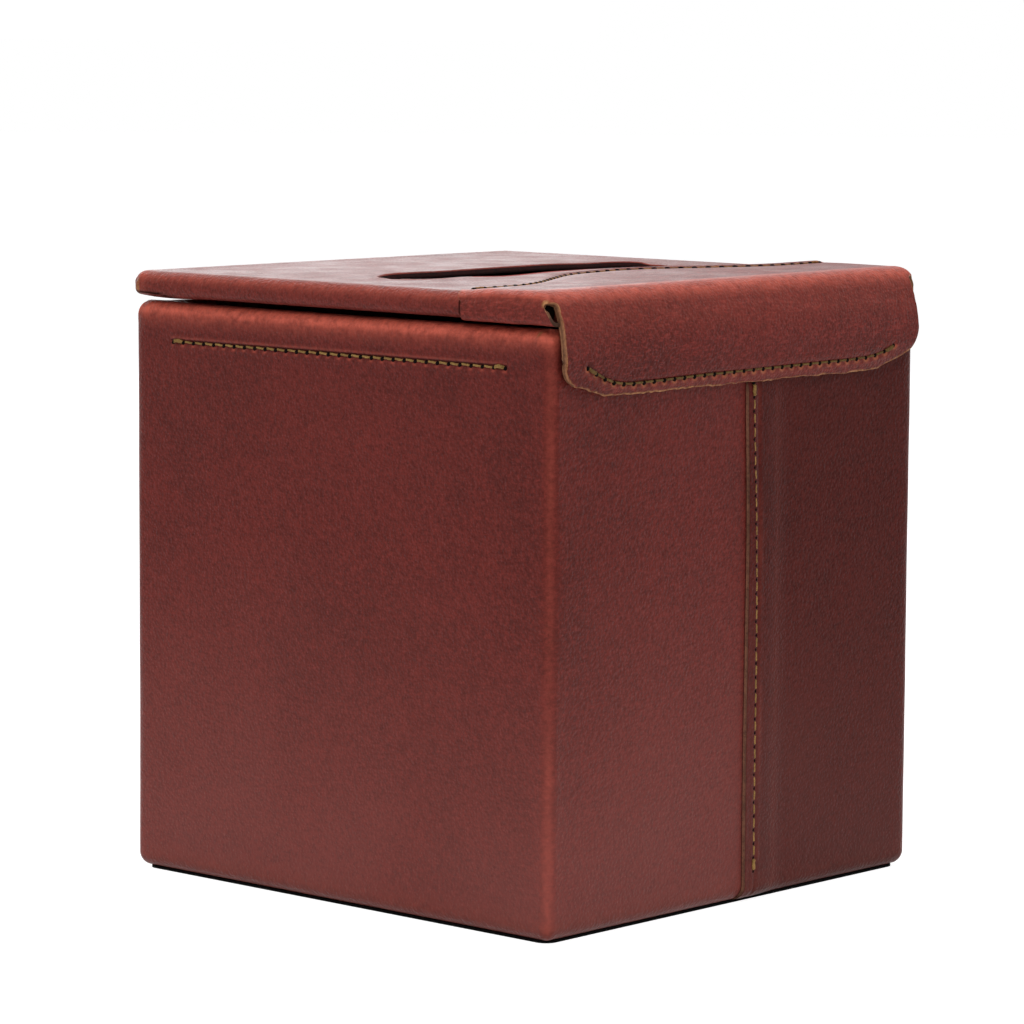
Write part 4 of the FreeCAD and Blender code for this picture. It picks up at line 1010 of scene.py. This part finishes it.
    # The side wraps end at the slit.
    quad_ok = np.ones((len(rows) - 1, columns - 1), bool)
    quad_ok[slit_row:, is_side[1:] | is_side[:-1]] = False
    slit_ends = {int(v) for v in np.flatnonzero(is_side) + slit_row * columns}
    skin, faces, kinds, used, edge_dark = solidify(points, normals, thick, quad_ok, slit_ends)
    rest = len(skin) - len(used)
    layers = {name: np.concatenate([share_of(values).ravel()[used], np.zeros(rest)])
              for name, values in (("calm", calm), ("wear_and_highlight", wear_and_highlight), ("dark", dark), ("flesh_and_highlight", flesh_and_highlight))}
    layers["dark"][2 * len(used):] = edge_dark
    item = make_mesh("strap_hinge", skin, faces, [strap_hide, cut_edge, nap], kinds, layers)
    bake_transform(item)
    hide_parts("hinge_body_leaf", "hinge_bend", "hinge_lid_leaf")

    # The two rows of thread.
    hx, hy = lid_holes.T
    make_row("thread_strap_on_lid", join(hx, hy, strap_top(hx, hy) - 0.10), (0.0, 0.0, 1.0), "lid",
             "hinge_lid_stitching", warm_thread, 5, radius=0.33, crown=0.04, mouth=(0.92, 0.55, 0.50),
             shift=(0.0, 0.0, 0.08), knot=1.0)
    fx, fz = drop_holes.T
    py, pz, ny, nz = strap_path(drop_to(fz))
    make_row("thread_strap_flap", join(fx, py - ny * 0.12, pz - nz * 0.12),
             join(0 * fx, ny, nz), "box", "hinge_flap_stitching", shaded_thread, 6, radius=0.26,
             crown=0.05, mouth=(0.54, 0.50, 0.32), shift=(0.0, 0.0, -0.22), knot=1.5)


# ---------------------------------------------------------------- frame nodes

def dress(material, *names):
    for name in names:
        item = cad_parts[name]
        item.data.materials.clear()
        item.data.materials.append(material)


make_wrap()
make_wall_rows()
make_lid_wrap()
make_strap()
dress(grey_board, "board_bottom", "board_left", "board_right", "board_front", "board_back")
dress(slot_board, "lid_board", "lid_infill_card")
dress(buff_card, "base_infill_card")
dress(black_nap, "lining_floor", "lining_left", "lining_right", "lining_front", "lining_back", "lid_lining")
dress(black_sheet, "base_cover")


# ---------------------------------------------------------------- stage

def grey(level):
    return (level, level, level, 1.0)


def studio(tree, output, plain, white):
    """A white look for camera, glossy and transmission rays, and a plain one for the light itself."""
    path = put(tree, "LightPath", {}).outputs
    seen = put(tree, "Math", {0: path["Is Camera Ray"], 1: path["Is Glossy Ray"]}, operation="MAXIMUM")
    seen = put(tree, "Math", {0: seen.outputs[0], 1: path["Is Transmission Ray"]}, operation="MAXIMUM")
    both = put(tree, "MixShader", {0: seen.outputs[0], 1: plain.outputs[0], 2: white.outputs[0]})
    put(tree, output, {0: both.outputs[0]})


def make_world():
    world = bpy.data.worlds.new("studio")
    bpy.context.scene.world = world
    tree = empty_tree(world)
    studio(tree, "OutputWorld", put(tree, "Background", {"Color": (0.93, 0.95, 1.0, 1.0), "Strength": 0.24}),
           put(tree, "Background", {"Color": grey(1.0), "Strength": 1.0}))


def make_floor():
    material = bpy.data.materials.new("studio_floor")
    tree = empty_tree(material)
    lit = put(tree, "BsdfDiffuse", {"Color": grey(0.36)})
    glow = put(tree, "Emission", {"Color": grey(1.0), "Strength": 0.93})
    studio(tree, "OutputMaterial", put(tree, "BsdfDiffuse", {"Color": grey(0.84)}),
           put(tree, "AddShader", {0: lit.outputs[0], 1: glow.outputs[0]}))
    reach, corners = 6000.0, 64
    turn = circle(corners)
    floor = make_mesh("studio_floor", join(reach * np.cos(turn), reach * np.sin(turn), -0.1),
                      [range(corners)], [material])


def put_in_scene(name, data, right, up, back, place):
    item = bpy.data.objects.new(name, data)
    matrix = np.eye(4)
    matrix[:3] = np.array([right, up, back, place]).T
    item.matrix_world = Matrix(matrix.tolist())
    bpy.context.scene.collection.objects.link(item)
    return item


def add_lamp(name, place, target, size, power, seen=True):
    lamp = bpy.data.lights.new(name, "AREA")
    lamp.shape = "RECTANGLE"
    lamp.size, lamp.size_y = size
    lamp.energy = power
    back = unit(np.array(place) - np.array(target))
    right = unit(np.cross([0.0, 1.0, 0.0] if abs(back[2]) > 0.99 else [0.0, 0.0, 1.0], back))
    item = put_in_scene(name, lamp, right, np.cross(back, right), back, place)
    item.visible_camera = item.visible_glossy = seen


def make_camera():
    camera = bpy.data.cameras.new("camera")
    focal_length, photo_width = 4429.815, 1024.0  # in pixels
    camera.sensor_width = 36.0
    camera.lens = focal_length / photo_width * camera.sensor_width
    camera.clip_start, camera.clip_end = 0.05, 20.0
    bpy.context.scene.camera = put_in_scene(
        "camera", camera, right=(-0.6716556, 0.7408380, 0.0061500), up=(-0.0801156, -0.0808815, 0.9934987),
        back=(0.7365190, 0.6667962, 0.1136772), place=(0.7699864, 0.6930487, 0.2030810))


make_world()
make_floor()
add_lamp("top_softbox", (-0.15, -0.15, 1.15), (0.0, 0.0, 0.07), (1.1, 1.1), 8.0)
add_lamp("key_softbox", (0.64, 0.64, 1.1), (0.0, 0.0, 0.07), (0.8, 0.8), 8.2)
add_lamp("right_softbox", (1.25, -0.25, 0.42), (0.0, 0.0, 0.06), (0.9, 0.7), 0.9)
add_lamp("front_fill", (-0.7, -1.1, 0.6), (0.0, 0.0, 0.07), (0.9, 0.9), 3.5)
add_lamp("floor_bounce_right", (0.148, 0.0, 0.002), (0.148, 0.0, 1.0), (0.16, 0.22), 0.090, seen=False)
add_lamp("floor_bounce_back", (0.0, 0.149, 0.002), (0.0, 0.149, 1.0), (0.22, 0.16), 0.090, seen=False)
make_camera()
bpy.context.scene.view_settings.view_transform = "Standard"
